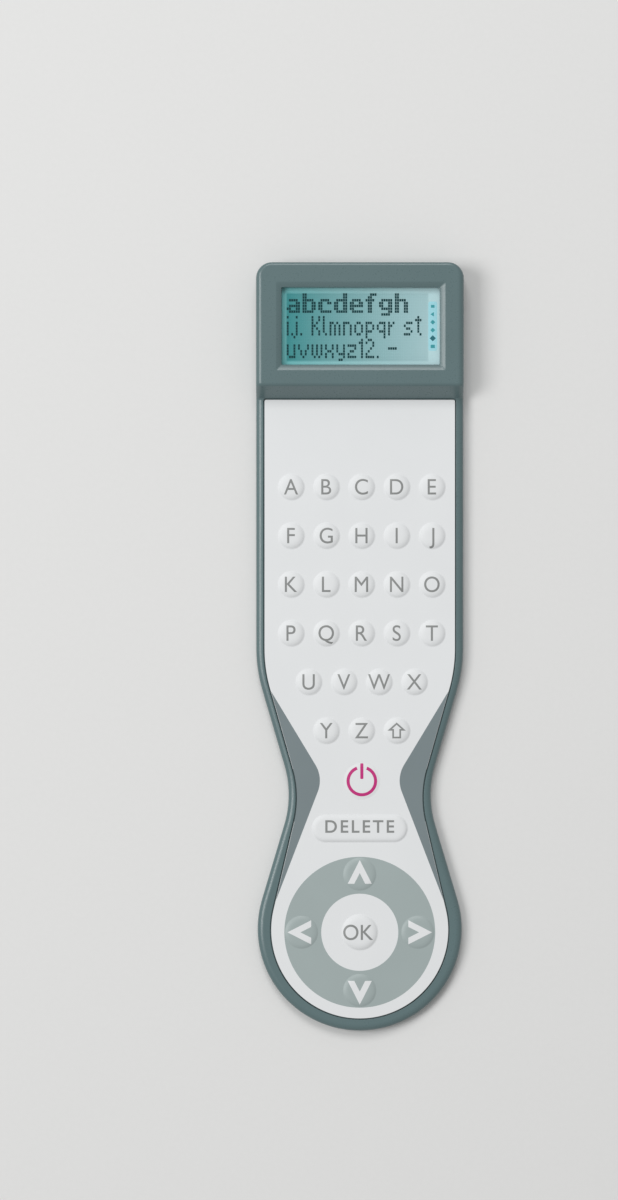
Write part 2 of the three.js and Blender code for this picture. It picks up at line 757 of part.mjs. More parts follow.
// Circuit board
const boardLoop = rectangleLoop(0, boardY, boardWidth, boardLength, boardCornerRadius);
place('circuit_board', prism(boardLoop, boardBottom, boardTop), boardGreen);
const controllerEdge = controllerHeight / 2;
const controller = turned(
  [
    [0, boardTop],
    [controllerRadius, boardTop],
    [controllerRadius - controllerEdge / 2, boardTop + controllerEdge],
    [controllerRadius / 2, boardTop + controllerHeight],
    [0, boardTop + controllerHeight],
  ],
  commandSides,
);
place('controller_blob', controller, blackEpoxy, -controllerShift, lowerGlassY);
const crystalLoop = rectangleLoop(0, 0, crystalLength, crystalWidth, crystalWidth / 4);
const crystal = prism(crystalLoop, boardTop, boardTop + crystalHeight);
place('timing_crystal', crystal, silverMetal, controllerShift, lowerGlassY + crystalLength);
const capacitorLoop = rectangleLoop(0, 0, capacitorLength, capacitorWidth);
const capacitor = prism(capacitorLoop, boardTop, boardTop + capacitorHeight);
place('smoothing_capacitor', capacitor, ceramicTan, controllerShift, lowerGlassY - crystalLength);

// Coin cells and their contacts
place('coin_cell_left', coinCell(true), silverMetal, -cellX, cellY);
place('coin_cell_right', coinCell(false), silverMetal, cellX, cellY);
place('cell_contact_left', batteryContact(), steel, -cellX);
place('cell_contact_right', batteryContact(), steel, cellX);
place('cell_link_strip', linkStrip(), steel);

// Key switches
place('key_circuit', keyCircuit(), amberFilm);
place('dome_sheet', domeSheet(), clearSheet);

// Keys
for (const key of keys) {
  const geometry = key.pill ? pillKey(key) : roundKey(key);
  place(key.name, geometry, key.green ? keyGreen : keyWhite, key.x, key.y);
}

// Screws
for (const { name, x, y, tip } of caseScrews) {
  place(name, screw(screwSink, screwHeadHeight, tip), steel, x, y);
}
place('battery_door_screw', screw(doorRecess, doorScrewHeadHeight, doorScrewTip), steel, 0, doorScrewY);

export default part;
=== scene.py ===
import math

import bmesh
import bpy
from mathutils import Matrix, Vector


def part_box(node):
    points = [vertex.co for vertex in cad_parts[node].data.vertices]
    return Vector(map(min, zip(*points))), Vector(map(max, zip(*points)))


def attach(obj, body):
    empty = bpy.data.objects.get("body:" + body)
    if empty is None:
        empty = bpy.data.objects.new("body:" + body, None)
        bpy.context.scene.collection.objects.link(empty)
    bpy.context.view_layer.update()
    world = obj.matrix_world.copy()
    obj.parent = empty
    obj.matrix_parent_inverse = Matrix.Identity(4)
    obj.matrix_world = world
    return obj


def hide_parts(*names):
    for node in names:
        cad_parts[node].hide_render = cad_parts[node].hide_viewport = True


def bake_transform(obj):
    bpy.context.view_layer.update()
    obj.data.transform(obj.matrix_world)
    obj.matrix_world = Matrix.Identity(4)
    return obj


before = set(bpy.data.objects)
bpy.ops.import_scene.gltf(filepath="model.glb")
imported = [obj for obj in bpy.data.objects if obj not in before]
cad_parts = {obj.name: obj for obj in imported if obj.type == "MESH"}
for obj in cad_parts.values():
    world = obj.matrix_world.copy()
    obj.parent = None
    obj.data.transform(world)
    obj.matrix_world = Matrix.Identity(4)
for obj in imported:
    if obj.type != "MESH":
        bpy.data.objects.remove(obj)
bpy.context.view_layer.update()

# A pocket dictionary shaped as a bookmark, lying on its back on a pale table.
# Pieces are drawn in millimetres, and scaled to metres when they are finished.
MM = 0.001
TINY = 1e-4


def node_box(name):
    """Lowest and highest corner of a CAD node, in millimetres."""
    low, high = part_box(name)
    return low / MM, high / MM


def middle_of(name):
    low, high = node_box(name)
    return (low + high) / 2


# Places that the CAD nodes give
CASE_LOW, CASE_HIGH = node_box("front_case")
FILM_LOW, FILM_HIGH = node_box("keypad_overlay")
LENS_LOW, LENS_HIGH = node_box("display_lens")
GLASS_LOW, GLASS_HIGH = node_box("display_panel")
DOOR_LOW, DOOR_HIGH = node_box("battery_door")
REAR_TOP = node_box("rear_cover")[1].z
SEAM = CASE_LOW.z

# Outline of the case, from its foot up
WAIST_X, WAIST_RISE, WAIST_RADIUS = 16, 56.6, 25
SHOULDER_RISE, SHOULDER_RADIUS = 30.2, 36
TOP_CORNER_RADIUS = 3.8
BOWL_RADIUS = 24.5

# Outline of the printed film, and the groove round it
FILM_WAIST_X = 14.25
FILM_BOWL_RADIUS = 21.25
FILM_CORNER_RADIUS = 0.4
FILM_EDGE, FILM_EDGE_STEPS = 0.06, 4
FILM_PROUD = 0.05
RIM_TOP = FILM_HIGH.z - FILM_PROUD
FILM_GROOVE, GROOVE_DEPTH = 0.3, 0.45
GROOVE_EDGE, GROOVE_EDGE_STEPS = 0.08, 3

# Shells
FRONT_WALL, REAR_WALL, REAR_FLOOR = 1.5, 1.3, 0.8
PLATE_BOTTOM = 2.02
# How far the rounds along the case's edges reach: inwards, and down
RIM_EDGE, HEAD_EDGE, END_EDGE = (1.6, 1.2), (1.5, 1.3), (0.8, 0.6)
REAR_EDGE = 0.7
SEAM_BEVEL = 0.12
RAMP_LENGTH, RAMP_FOOT_RADIUS, RAMP_CREST_RADIUS = 3, 0.8, 1.1
RAMP_MARGIN = 2
HEAD_CAVITY_FOOT_Y = 63.9
# How far a cutter reaches past what it cuts
OVERRUN = 2

# Window: rings of the chamfer round it, as (how far out, how far below the head's top)
LENS_LAP = 1.9
WINDOW_CORNER_RADIUS = 0.3
WINDOW_RINGS = ((0, 1.0), (0.12, 0.55), (0.7, 0.22), (1.3, 0.03), (1.45, 0))

# Battery compartment and its door
COMPARTMENT_WALL, DOOR_LEDGE, DOOR_CLEARANCE = 0.8, 0.8, 0.2
COMPARTMENT_CORNER_RADIUS = 2
DOOR_EDGE = 0.12
NOTCH_RADIUS, NOTCH_REACH, NOTCH_DEPTH = 3.2, 1.3, 0.4
RIB_COUNT, RIB_START, RIB_PITCH = 4, 2.6, 1.2
RIB_WIDTH, RIB_LENGTH, RIB_DEPTH = 0.6, 12, 0.2

# Screws
CASE_SCREWS = [f"case_screw_{end}_{side}" for end in ("head", "bowl") for side in ("left", "right")]
CASE_SCREW_HEAD, DOOR_SCREW_HEAD = 0.5, 0.35
BOSS_RADIUS = 2
SCREW_HEAD_RADIUS, SCREW_RADIUS, SCREW_ROOT, SCREW_TIP = 1.25, 0.65, 0.5, 0.125
HEAD_HOLE_RADIUS, SHANK_HOLE_RADIUS, THREAD_HOLE_RADIUS = 1.45, 0.85, 0.75
SCREW_TIP_GAP = 0.25
SCREW_EDGE = 0.15
SCREW_SIDES = 32
THREAD_PITCH = 0.45
# One turn of the thread, as (radius, share of the pitch)
THREAD_TURN = ((SCREW_ROOT, 0.3), (SCREW_RADIUS, 0.3 + 1 / 3), (SCREW_ROOT, 0.9))
CROSS_WIDTH, CROSS_SPAN, CROSS_DEPTH = 0.32, 1.5, 0.22

# Coin cells
CELL_CAP_RADIUS, CELL_CAP_HEIGHT, CELL_GASKET = 8.7, 0.25, 0.35
CELL_EDGE = 0.25
CELL_CAP_EDGE = CELL_EDGE / 3
CELL_SIDES = 72
# The can's rolled edges, as shares of CELL_EDGE: how far in, and how far from the end
CAN_FOOT = ((1, 0), (1 / 4, 1 / 4), (0, 1))
CAN_CREST = ((0, 1), (1 / 3, 1 / 4), (2, 0))
PLUS_SPAN, PLUS_WIDTH, PLUS_DEPTH = 3.2, 0.5, 0.04

# Bumps over the keys
BUMP_MARGIN, BUMP_SINK = 0.3, 0.05
BUMP_FOOT, BUMP_CURVE = 0.35, 3
BUMP_SHOULDER, POWER_SHOULDER, ARROW_SHOULDER, PILL_SHOULDER = 2.7, 2.5, 2.4, 1.6
ARROW_TRIM = 0.35
FOOT_STEPS, FLANK_STEPS, FLANK_CROWDING = 4, 11, 1.6

# Printing on the film and on the bumps
INK_LIFT, INK_DEPTH = 0.015, 0.03
INK_GRID = 0.3
CAPITAL_HEIGHT = 0.682
# Lettering styles: size, weight, spacing and share of the font's own width
LETTER_STYLE, OK_STYLE = (5.4, 0, 1, 0.94), (5.25, 0.02, 1, 0.94)
DELETE_STYLE = (4.25, 0.06, 1.25, 1)
LETTER_SHIFT, OK_SHIFT, DELETE_SHIFT = Vector((-0.1, 0.05)), Vector((-0.4, 0)), Vector((0, 0.5))
NAV_RING_INNER, NAV_RING_OUTER, NAV_RING_SIDES = 9.26, 18.1, 128
WING_TOP_Y, WING_FOOT_Y = -10.6, -60.7
# Tip of the wing, as a rounded corner (x, y, radius)
WING_TIP = (8.78, -31.3, 7.3)
POWER_RING_RADIUS, POWER_STROKE, POWER_GAP, POWER_RING_STEPS = 3.3, 0.75, 0.36, 48
POWER_BAR_FOOT, POWER_BAR_TOP, POWER_BAR_ROUND = 0.5, 4.25, 0.1875
CHEVRON_WIDTH, CHEVRON_LENGTH, CHEVRON_STROKE, CHEVRON_SHIFT = 5.8, 5.7, 1.42, 0.55
# The shift key's hollow arrow: right half of its outline, from the tip down
SHIFT_HALF = ((0, 1.95), (2.2, 0), (1.05, 0), (1.05, -1.85))
SHIFT_STROKE = 0.4

# Display
POLARISER_BORDER, POLARISER_THICKNESS = 0.5, 0.08
DOT_LEFT, DOT_TOP = -17.55, 84.8
DOT_PITCH_X, DOT_PITCH_Y = 0.539, 0.679
DOT_GAP = 0.075
DOT_THICKNESS = 0.015
TEXT_ROW_DOTS, TEXT_BASELINE, TEXT_ROWS = 8, 7, 3
FIELD_RIGHT, FIELD_BLUR = 16.35, 0.25
ICON_X = 17.45
STRIP_WIDTH, STRIP_CORNER_RADIUS, STRIP_THICKNESS = 2.1, 0.525, 0.005
STRIP_FOOT, STRIP_TOP = 71.0, 82.8

# The photograph's view
LENS_MM, SENSOR_MM = 150, 36
VIEW_HEIGHT = 0.288
AIM_X, AIM_Y = -0.01218, 0.01134

# Arcs are drawn so finely that their chords stray no further than this
ARC_ERROR = 0.004
LEAST_ARC_STEPS = 3
CIRCLE_SIDES = 56
EDGE_STEPS = 8
SHARP_ANGLE = math.radians(32)


# ---- Outlines ----


def without_repeats(points, closed=False):
    kept = []
    for point in points:
        if not kept or (point - kept[-1]).length > TINY:
            kept.append(point)
    return kept[:-1] if closed and (kept[0] - kept[-1]).length < TINY else kept


def corner_arc(before, corner, after):
    """Points that round one corner (x, y, radius) between its two neighbours."""
    here, radius = Vector(corner[:2]), corner[2]
    if not radius:
        return [here]
    back = (Vector(before[:2]) - here).normalized()
    ahead = (Vector(after[:2]) - here).normalized()
    half = back.angle(ahead) / 2
    centre = here + (back + ahead).normalized() * (radius / math.sin(half))
    spoke = here + back * (radius / math.tan(half)) - centre
    turn = math.copysign(math.pi - 2 * half, ahead.x * back.y - ahead.y * back.x)
    step = 2 * math.acos(1 - ARC_ERROR / radius)
    steps = max(LEAST_ARC_STEPS, math.ceil(abs(turn) / step))
    return [centre + Matrix.Rotation(turn * s / steps, 2) @ spoke for s in range(steps + 1)]


def rounded_path(corners):
    """An open path through corners (x, y, radius)."""
    points = [Vector(corners[0][:2])]
    for before, corner, after in zip(corners, corners[1:], corners[2:]):
        points += corner_arc(before, corner, after)
    return without_repeats(points + [Vector(corners[-1][:2])])


def rounded_loop(corners):
    """A closed outline through corners (x, y, radius)."""
    points = []
    for i, corner in enumerate(corners):
        points += corner_arc(corners[i - 1], corner, corners[(i + 1) % len(corners)])
    return without_repeats(points, closed=True)


def rectangle(x, y, width, length, radius=0.0):
    right, top = width / 2, length / 2
    corners = ((-right, -top), (right, -top), (right, top), (-right, top))
    return rounded_loop([(x + across, y + along, radius) for across, along in corners])


def box_outline(low, high, grow, radius):
    """A box's outline as seen from above, grown by a distance."""
    middle, size = (low + high) / 2, high - low
    return rectangle(middle.x, middle.y, size.x + 2 * grow, size.y + 2 * grow, radius)


def arc(place, radius, turns):
    return [place.xy + Vector((math.cos(a), math.sin(a))) * radius for a in turns]


def circle(place, radius, sides=CIRCLE_SIDES):
    return arc(place, radius, [2 * math.pi * i / sides for i in range(sides)])


def bookmark_half(low, high, corner_radius, waist_x, bowl_radius):
    """The right half of the bookmark's outline in a box, from the top's middle to the foot's."""
    waist_y, bowl_y = CASE_LOW.y + WAIST_RISE, low.y + bowl_radius
    reach = math.hypot(waist_x, waist_y - bowl_y)
    touch = math.atan2(waist_y - bowl_y, waist_x) - math.acos(bowl_radius / reach)
    foot_x = bowl_radius * (1 + math.sin(touch)) / math.cos(touch)
    corners = [
        (0, high.y, 0),
        (high.x, high.y, corner_radius),
        (high.x, waist_y + SHOULDER_RISE, SHOULDER_RADIUS),
        (waist_x, waist_y, WAIST_RADIUS),
        (foot_x, low.y, bowl_radius),
        (0, low.y, 0),
    ]
    return rounded_path(corners)


CASE_HALF = bookmark_half(CASE_LOW, CASE_HIGH, TOP_CORNER_RADIUS, WAIST_X, BOWL_RADIUS)
FILM_HALF = bookmark_half(FILM_LOW, FILM_HIGH, FILM_CORNER_RADIUS, FILM_WAIST_X, FILM_BOWL_RADIUS)


def with_rows(path, rows):
    """A downward path with a point added at each of these heights."""
    result = [path[0]]
    for above, below in zip(path, path[1:]):
        between = [y for y in rows if below.y + TINY < y < above.y - TINY]
        for y in sorted(between, reverse=True):
            result.append(above.lerp(below, (above.y - y) / (above.y - below.y)))
        result.append(below)
    return result


def mirrored(half):
    """The closed outline of a right half that runs from the top down to the foot."""
    return half + [Vector((-p.x, p.y)) for p in reversed(half[1:-1])]


def grown(loop, distance):
    """The closed outline moved outwards by a distance, or inwards if it is negative."""
    area = sum(a.x * b.y - b.x * a.y for a, b in zip(loop, loop[1:] + loop[:1]))
    outward = math.copysign(distance, -area * distance) if distance else 0
    moved = []
    for i, here in enumerate(loop):
        before = (here - loop[i - 1]).normalized()
        after = (loop[(i + 1) % len(loop)] - here).normalized()
        side = Vector((-before.y - after.y, before.x + after.x))
        moved.append(here + side * (outward / (1 + before.dot(after))))
    return moved


def lifted(loop, height):
    return [(p.x, p.y, height) for p in loop]


# ---- Solids ----


def placed(name, data):
    """A new object in the scene."""
    made = bpy.data.objects.new(name, data)
    bpy.context.scene.collection.objects.link(made)
    return made


def mesh_of(name, shape):
    """A mesh from a bmesh shape, which is used up."""
    mesh = bpy.data.meshes.new(name)
    shape.to_mesh(mesh)
    shape.free()
    return mesh


def mesh_object(name, points, faces):
    shape = bmesh.new()
    corners = [shape.verts.new(point) for point in points]
    for face in faces:
        shape.faces.new([corners[i] for i in face])
    bmesh.ops.recalc_face_normals(shape, faces=shape.faces)
    return placed(name, mesh_of(name, shape))


def ring_faces(rings, count, closed=True):
    """Faces between rings of points, and over both ends if closed."""
    faces = []
    for r in range(rings - 1):
        for i in range(count):
            j = (i + 1) % count
            low, high = r * count, (r + 1) * count
            faces.append((low + i, low + j, high + j, high + i))
    if closed:
        faces.append(range(count))
        faces.append(range((rings - 1) * count, rings * count))
    return faces


def stacked(name, rings):
    """A closed solid through rings that all have the same number of points."""
    points = [point for ring in rings for point in ring]
    return mesh_object(name, points, ring_faces(len(rings), len(rings[0])))


def prism(loop, bottom, top, name="cutter"):
    return stacked(name, [lifted(loop, bottom), lifted(loop, top)])


def lathe(name, place, profile, sides):
    """A body of revolution through (radius, z) points, closed flat at both ends."""
    return stacked(name, [lifted(circle(place, radius, sides), z) for radius, z in profile])


def rounded_rings(loop, outwards, upwards, top, steps=EDGE_STEPS):
    """Rings that round an edge as they move by these distances, the last of them at the top."""
    return [
        lifted(grown(loop, outwards * sideways), top - upwards * (1 - rise))
        for sideways, rise in quarter_round(steps)
    ]


def combine(target, others, operation="DIFFERENCE"):
    """Joins the other solids to the target, or cuts them out of it, and removes them."""
    for other in others:
        modifier = target.modifiers.new("combine", "BOOLEAN")
        modifier.operation, modifier.solver, modifier.object = operation, "EXACT", other
    graph = bpy.context.evaluated_depsgraph_get()
    result = bpy.data.meshes.new_from_object(target.evaluated_get(graph))
    target.modifiers.clear()
    target.data = result
    for other in others:
        bpy.data.objects.remove(other)
    return target


def quarter_round(steps=EDGE_STEPS):
    """(sideways, upwards) shares of a quarter circle from upright to flat."""
    turns = [math.pi / 2 * s / steps for s in range(steps + 1)]
    return [(1 - math.cos(a), math.sin(a)) for a in turns]


def finish_piece(piece, materials, replaces=(), body="root", soften=True):
    """Scales a drawn piece to metres, shades it, and hangs it on its CAD body."""
    piece.data.transform(Matrix.Scale(MM, 4))
    for material in materials:
        piece.data.materials.append(material)
    piece.data.shade_smooth()
    piece.data.set_sharp_from_angle(angle=SHARP_ANGLE)
    if soften:
        modifier = piece.modifiers.new("weighted normals", "WEIGHTED_NORMAL")
        modifier.keep_sharp = True
    if body:
        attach(piece, body)
    if replaces:
        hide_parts(*replaces)


# ---- Materials ----


def srgb(red, green, blue):
    """A colour as seen on a screen, as the linear values that a shader takes."""
    shares = [c / 255 for c in (red, green, blue)]
    return [s / 12.92 if s <= 0.04045 else ((s + 0.055) / 1.055) ** 2.4 for s in shares] + [1]


# Places of a Mix node's colour sockets
MIX_FIRST, MIX_SECOND, MIX_RESULT = 6, 7, 2


class Surface:
    """A node material, built up from its Principled shader."""

    def __init__(self, name):
        self.material = bpy.data.materials.new(name)
        self.material.use_nodes = True
        self.tree = self.material.node_tree
        self.shader = self.tree.nodes["Principled BSDF"]
        self.place = self.add("TexCoord").outputs["Object"]

    def add(self, kind, inputs=None, **settings):
        node = self.tree.nodes.new("ShaderNode" + kind)
        for name, value in settings.items():
            setattr(node, name, value)
        for name, value in (inputs or {}).items():
            self.feed(node.inputs[name], value)
        return node

    def feed(self, socket, value):
        if isinstance(value, bpy.types.NodeSocket):
            self.tree.links.new(value, socket)
        else:
            socket.default_value = value

    def set(self, **inputs):
        for name, value in inputs.items():
            self.feed(self.shader.inputs[name.replace("_", " ")], value)
        return self

    def noise(self, size, detail=2.0, place=None):
        """Noise whose features are about this many millimetres across."""
        inputs = {"Vector": place or self.place, "Scale": 1 / (size * MM), "Detail": detail}
        return self.add("TexNoise", inputs).outputs["Fac"]

    def stretched(self, *scale):
        inputs = {"Vector": self.place, "Scale": scale}
        return self.add("Mapping", inputs).outputs["Vector"]

    def spread(self, value, low, high, start=0.3, end=0.7):
        inputs = {"Value": value, "From Min": start, "From Max": end, "To Min": low, "To Max": high}
        return self.add("MapRange", inputs).outputs["Result"]

    def mix(self, factor, first, second):
        inputs = {"Factor": factor, MIX_FIRST: first, MIX_SECOND: second}
        return self.add("Mix", inputs, data_type="RGBA").outputs[MIX_RESULT]

    def math(self, operation, first, second=0.0):
        return self.add("Math", {0: first, 1: second}, operation=operation).outputs[0]

    def distance(self, first, second):
        return self.math("ABSOLUTE", self.math("SUBTRACT", first, second))

    def bump(self, height, depth):
        """Relief of this many millimetres."""
        inputs = {"Height": height, "Distance": depth * MM, "Strength": 1.0}
        return self.add("Bump", inputs).outputs["Normal"]

    def mottled(self, colour, noise, amount):
        """The colour, darker and lighter by this share as the noise goes."""
        linear = srgb(*colour)[:3]
        shades = [[min(1, c * (1 + off)) for c in linear] + [1] for off in (-amount, amount)]
        return self.mix(self.spread(noise, 0, 1), *shades)

    def finished(self, colour, roughness, pattern, cloud, mottle, depth, play, span=(), **more):
        """The material, with clouds in its colour and a pattern in its roughness and relief."""
        return self.set(
            Base_Color=self.mottled(colour, self.noise(cloud), mottle),
            Roughness=self.spread(pattern, roughness - play[0], roughness + play[1], *span),
            Normal=self.bump(pattern, depth),
            **more,
        ).material


# Materials take colours as seen on a screen, and sizes and depths in millimetres. Each family
# has its clouds, its relief, and how far its roughness strays down and up.
PLASTIC = {"cloud": 14, "play": (0.04, 0.04)}
BRUSHED = {"cloud": 5, "mottle": 0.06, "depth": 0.004, "play": (0.08, 0.1)}
TURNED = {"cloud": 4, "mottle": 0.05, "depth": 0.003, "play": (0.06, 0.08), "span": (0, 1)}
BRUSHED_STREAK = 0.12
TURNED_RINGS, TURNED_WOBBLE = 900, 1.5
STRIPE_PATCH, STRIPE_GRAIN, STRIPE_DEPTH, STRIPE_PLAY = 6, 0.5, 0.01, 0.05
# Blender's bands at scale 1 repeat after this length
BAND_LENGTH = math.pi / 10
PANE_SCRATCH, PANE_DEPTH, PANE_ROUGHNESS = 0.6, 0.0005, (0.16, 0.22)
PANE_MIRRORED, PANE_FALLOFF = 0.02, 5


def plastic(name, colour, roughness, grain=0.2, depth=0.002, mottle=0.02, gloss=0.5):
    """Moulded or printed plastic with a fine grain and faint cloudiness."""
    surface = Surface(name)
    fine = surface.noise(grain, detail=3)
    return surface.finished(
        colour, roughness, fine, mottle=mottle, depth=depth, **PLASTIC, Specular_IOR_Level=gloss
    )


def brushed_metal(name, colour, roughness, along=(1, 0.04, 1)):
    """Metal with fine scratches along one direction."""
    surface = Surface(name)
    streaks = surface.noise(BRUSHED_STREAK, detail=4, place=surface.stretched(*along))
    return surface.finished(colour, roughness, streaks, **BRUSHED, Metallic=1.0)


def turned_metal(name, colour, roughness, place):
    """Metal with fine rings about a place, as on the can of a coin cell."""
    surface = Surface(name)
    inputs = {"Vector": surface.place, "Location": (-place.x * MM, -place.y * MM, 0)}
    centred = surface.add("Mapping", inputs).outputs["Vector"]
    inputs = {"Vector": centred, "Scale": TURNED_RINGS, "Distortion": TURNED_WOBBLE, "Detail": 3}
    settings = {"wave_type": "RINGS", "rings_direction": "Z"}
    rings = surface.add("TexWave", inputs, **settings).outputs["Fac"]
    return surface.finished(colour, roughness, rings, **TURNED, Metallic=1.0)


def striped(name, colour, line_colour, pitch, share, roughness, direction="X"):
    """A surface with fine parallel lines, such as tracks or layered rubber."""
    surface = Surface(name)
    inputs = {"Vector": surface.place, "Scale": BAND_LENGTH / (pitch * MM)}
    waves = surface.add("TexWave", inputs, bands_direction=direction).outputs["Fac"]
    lines = surface.math("GREATER_THAN", waves, 1 - share)
    patches = surface.math("GREATER_THAN", surface.noise(STRIPE_PATCH), 0.5)
    broken = surface.math("MULTIPLY", lines, patches)
    fine = surface.noise(STRIPE_GRAIN)
    return surface.set(
        Base_Color=surface.mix(broken, srgb(*colour), srgb(*line_colour)),
        Roughness=surface.spread(fine, roughness - STRIPE_PLAY, roughness + STRIPE_PLAY),
        Normal=surface.bump(broken, STRIPE_DEPTH),
    ).material


def clear_pane(name, tint):
    """Polished clear plastic: light passes, and a little of it is mirrored."""
    surface = Surface(name)
    tree = surface.tree
    scratches = surface.noise(PANE_SCRATCH, detail=4, place=surface.stretched(1, 0.1, 1))
    rough = surface.spread(scratches, *PANE_ROUGHNESS)
    inputs = {"Roughness": rough, "Normal": surface.bump(scratches, PANE_DEPTH)}
    gloss = surface.add("BsdfGlossy", inputs).outputs[0]
    passing = surface.add("BsdfTransparent", {"Color": srgb(*tint)}).outputs[0]
    glance = surface.add("LayerWeight", {"Blend": 0.5}).outputs["Facing"]
    share = surface.spread(surface.math("POWER", glance, PANE_FALLOFF), PANE_MIRRORED, 1, 0, 1)
    shown = surface.add("MixShader", {0: share, 1: passing, 2: gloss})
    tree.links.new(shown.outputs[0], tree.nodes["Material Output"].inputs["Surface"])
    tree.nodes.remove(surface.shader)
    return surface.material


# The display's face lies within its glass, so it has hardly any gloss of its own
DISPLAY_GLOSS = 0.05
DISPLAY_ROUGHNESS, DISPLAY_GRAIN, DISPLAY_DEPTH = (0.28, 0.36), 0.2, 0.0005
# Its colours at its left and its right; the paling to the right is a painted reflection
FIELD_TEAL_AND_PAINTED_REFLECTION = srgb(36, 141, 143), srgb(190, 215, 219)
# The border is lighter than the field, its left end painted lighter still against the recess's
# shadow
BORDER_TINT_AND_PAINTED_LIGHT = srgb(112, 190, 191), srgb(203, 226, 230)
# The colour and strength of its idle dots and its clouds
IDLE_COLOUR, IDLE_SHARE = srgb(30, 90, 95), 0.09
CLOUD_COLOUR, CLOUD_SHARE, CLOUD_SIZE = srgb(60, 140, 150), 0.05, 9


def display_face(name):
    """Teal paling to the right in a painted reflection, a lighter border, and a faint lattice of
    idle dots.
    """
    surface = Surface(name)
    parts = surface.add("SeparateXYZ", {"Vector": surface.place}).outputs
    # The share across the glass carries the painted reflection that pales to the right
    across = surface.spread(parts["X"], 0, 1, GLASS_LOW.x * MM, GLASS_HIGH.x * MM)
    foot = DOT_TOP - TEXT_ROWS * TEXT_ROW_DOTS * DOT_PITCH_Y
    inside = inside_box(surface, parts, (DOT_LEFT, FIELD_RIGHT), (foot, DOT_TOP))
    columns = lattice_line(surface, parts["X"], DOT_LEFT, DOT_PITCH_X)
    lines = lattice_line(surface, parts["Y"], DOT_TOP, DOT_PITCH_Y)
    lattice = surface.math("MULTIPLY", surface.math("MULTIPLY", columns, lines), IDLE_SHARE)
    field = surface.mix(lattice, surface.mix(across, *FIELD_TEAL_AND_PAINTED_REFLECTION), IDLE_COLOUR)
    # The border's colours hold painted light at the left end, against the recess's shadow, and the
    # painted reflection
    colour = surface.mix(inside, surface.mix(across, *BORDER_TINT_AND_PAINTED_LIGHT), field)
    cloud = surface.spread(surface.noise(CLOUD_SIZE), 0, 1)
    fine = surface.noise(DISPLAY_GRAIN)
    return surface.set(
        Base_Color=surface.mix(surface.math("MULTIPLY", cloud, CLOUD_SHARE), colour, CLOUD_COLOUR),
        Roughness=surface.spread(fine, *DISPLAY_ROUGHNESS),
        Specular_IOR_Level=DISPLAY_GLOSS,
        Normal=surface.bump(fine, DISPLAY_DEPTH),
    ).material


def inside_box(surface, parts, across, along):
    """One inside a rectangle and nought outside it, with a soft edge."""
    inside = 1.0
    for axis, (low, high) in (("X", across), ("Y", along)):
        off = surface.distance(parts[axis], (low + high) / 2 * MM)
        half, blur = (high - low) / 2 * MM, FIELD_BLUR * MM
        share = surface.spread(off, 1, 0, half - blur, half + blur)
        inside = surface.math("MULTIPLY", share, inside)
    return inside


def lattice_line(surface, position, start, pitch):
    """One on a dot and nought in the gap between dots."""
    turns = surface.math("DIVIDE", surface.math("SUBTRACT", position, start * MM), pitch * MM)
    off = surface.distance(surface.math("FRACT", turns), 0.5)
    return surface.math("LESS_THAN", off, 0.5 - DOT_GAP / pitch / 2)


CASE_GREY = plastic("case_plastic", (92, 113, 115), 0.3, grain=0.4)
FILM_WHITE = plastic("film_white", (223, 225, 226), 0.65, grain=0.25, mottle=0.008)
WING_GREY = plastic("ink_grey_wing", (117, 129, 132), 0.45, grain=0.25)
RING_GREEN = plastic("ink_green_ring", (157, 169, 168), 0.45, grain=0.25)
LEGEND_GREY = plastic("ink_grey_legend", (134, 136, 135), 0.5)
POWER_PINK = plastic("ink_magenta", (190, 34, 118), 0.45)
SCREW_STEEL = brushed_metal("screw_steel", (168, 171, 173), 0.32, along=(1, 1, 0.1))
DISPLAY_FACE = display_face("display_face")
ON_GLASS = {"depth": 0.001, "gloss": DISPLAY_GLOSS}
DOT_INK = plastic("liquid_crystal_dots", (4, 58, 62), 0.35, **ON_GLASS)
ICON_INK = plastic("display_icons", (68, 158, 166), 0.35, **ON_GLASS)
ICON_DARK = plastic("display_icon_lit", (48, 114, 124), 0.35, **ON_GLASS)
ICON_PALE = plastic("display_icon_strip", (171, 222, 232), 0.32, **ON_GLASS)

NODE_MATERIALS = {
    "display_lens": clear_pane("clear_acrylic", (252, 254, 254)),
    "display_panel": plastic("display_glass_edge", (150, 186, 188), 0.2, grain=0.8, depth=0.001),
    "display_reflector": brushed_metal("reflector_film", (200, 208, 206), 0.38),
    "display_frame": plastic("frame_plastic", (232, 232, 228), 0.5, grain=0.4, depth=0.004),
    "display_connector": striped("layered_rubber", (226, 226, 222), (48, 48, 50), 0.1, 0.5, 0.7),
    "circuit_board": striped("solder_mask", (36, 104, 66), (58, 134, 88), 0.5, 0.35, 0.35),
    "controller_blob": plastic("black_epoxy", (26, 26, 28), 0.25, grain=1.6, depth=0.02),
    "timing_crystal": brushed_metal("crystal_can", (196, 198, 200), 0.25),
    "smoothing_capacitor": plastic("ceramic_tan", (164, 140, 108), 0.4),
    "cell_contact_left": brushed_metal("contact_steel", (176, 178, 176), 0.28),
    "cell_contact_right": brushed_metal("contact_steel_right", (176, 178, 176), 0.28),
    "cell_link_strip": brushed_metal("link_steel", (180, 182, 180), 0.3, along=(0.04, 1, 1)),
    "key_circuit": striped("circuit_film", (190, 136, 62), (188, 186, 176), 1.2, 0.4, 0.35, "Y"),
    "dome_sheet": plastic("dome_film", (214, 219, 222), 0.3, grain=0.3),
}


def dress_nodes():
    for name, material in NODE_MATERIALS.items():
        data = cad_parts[name].data
        data.materials.clear()
        data.materials.append(material)


# ---- Shells ----


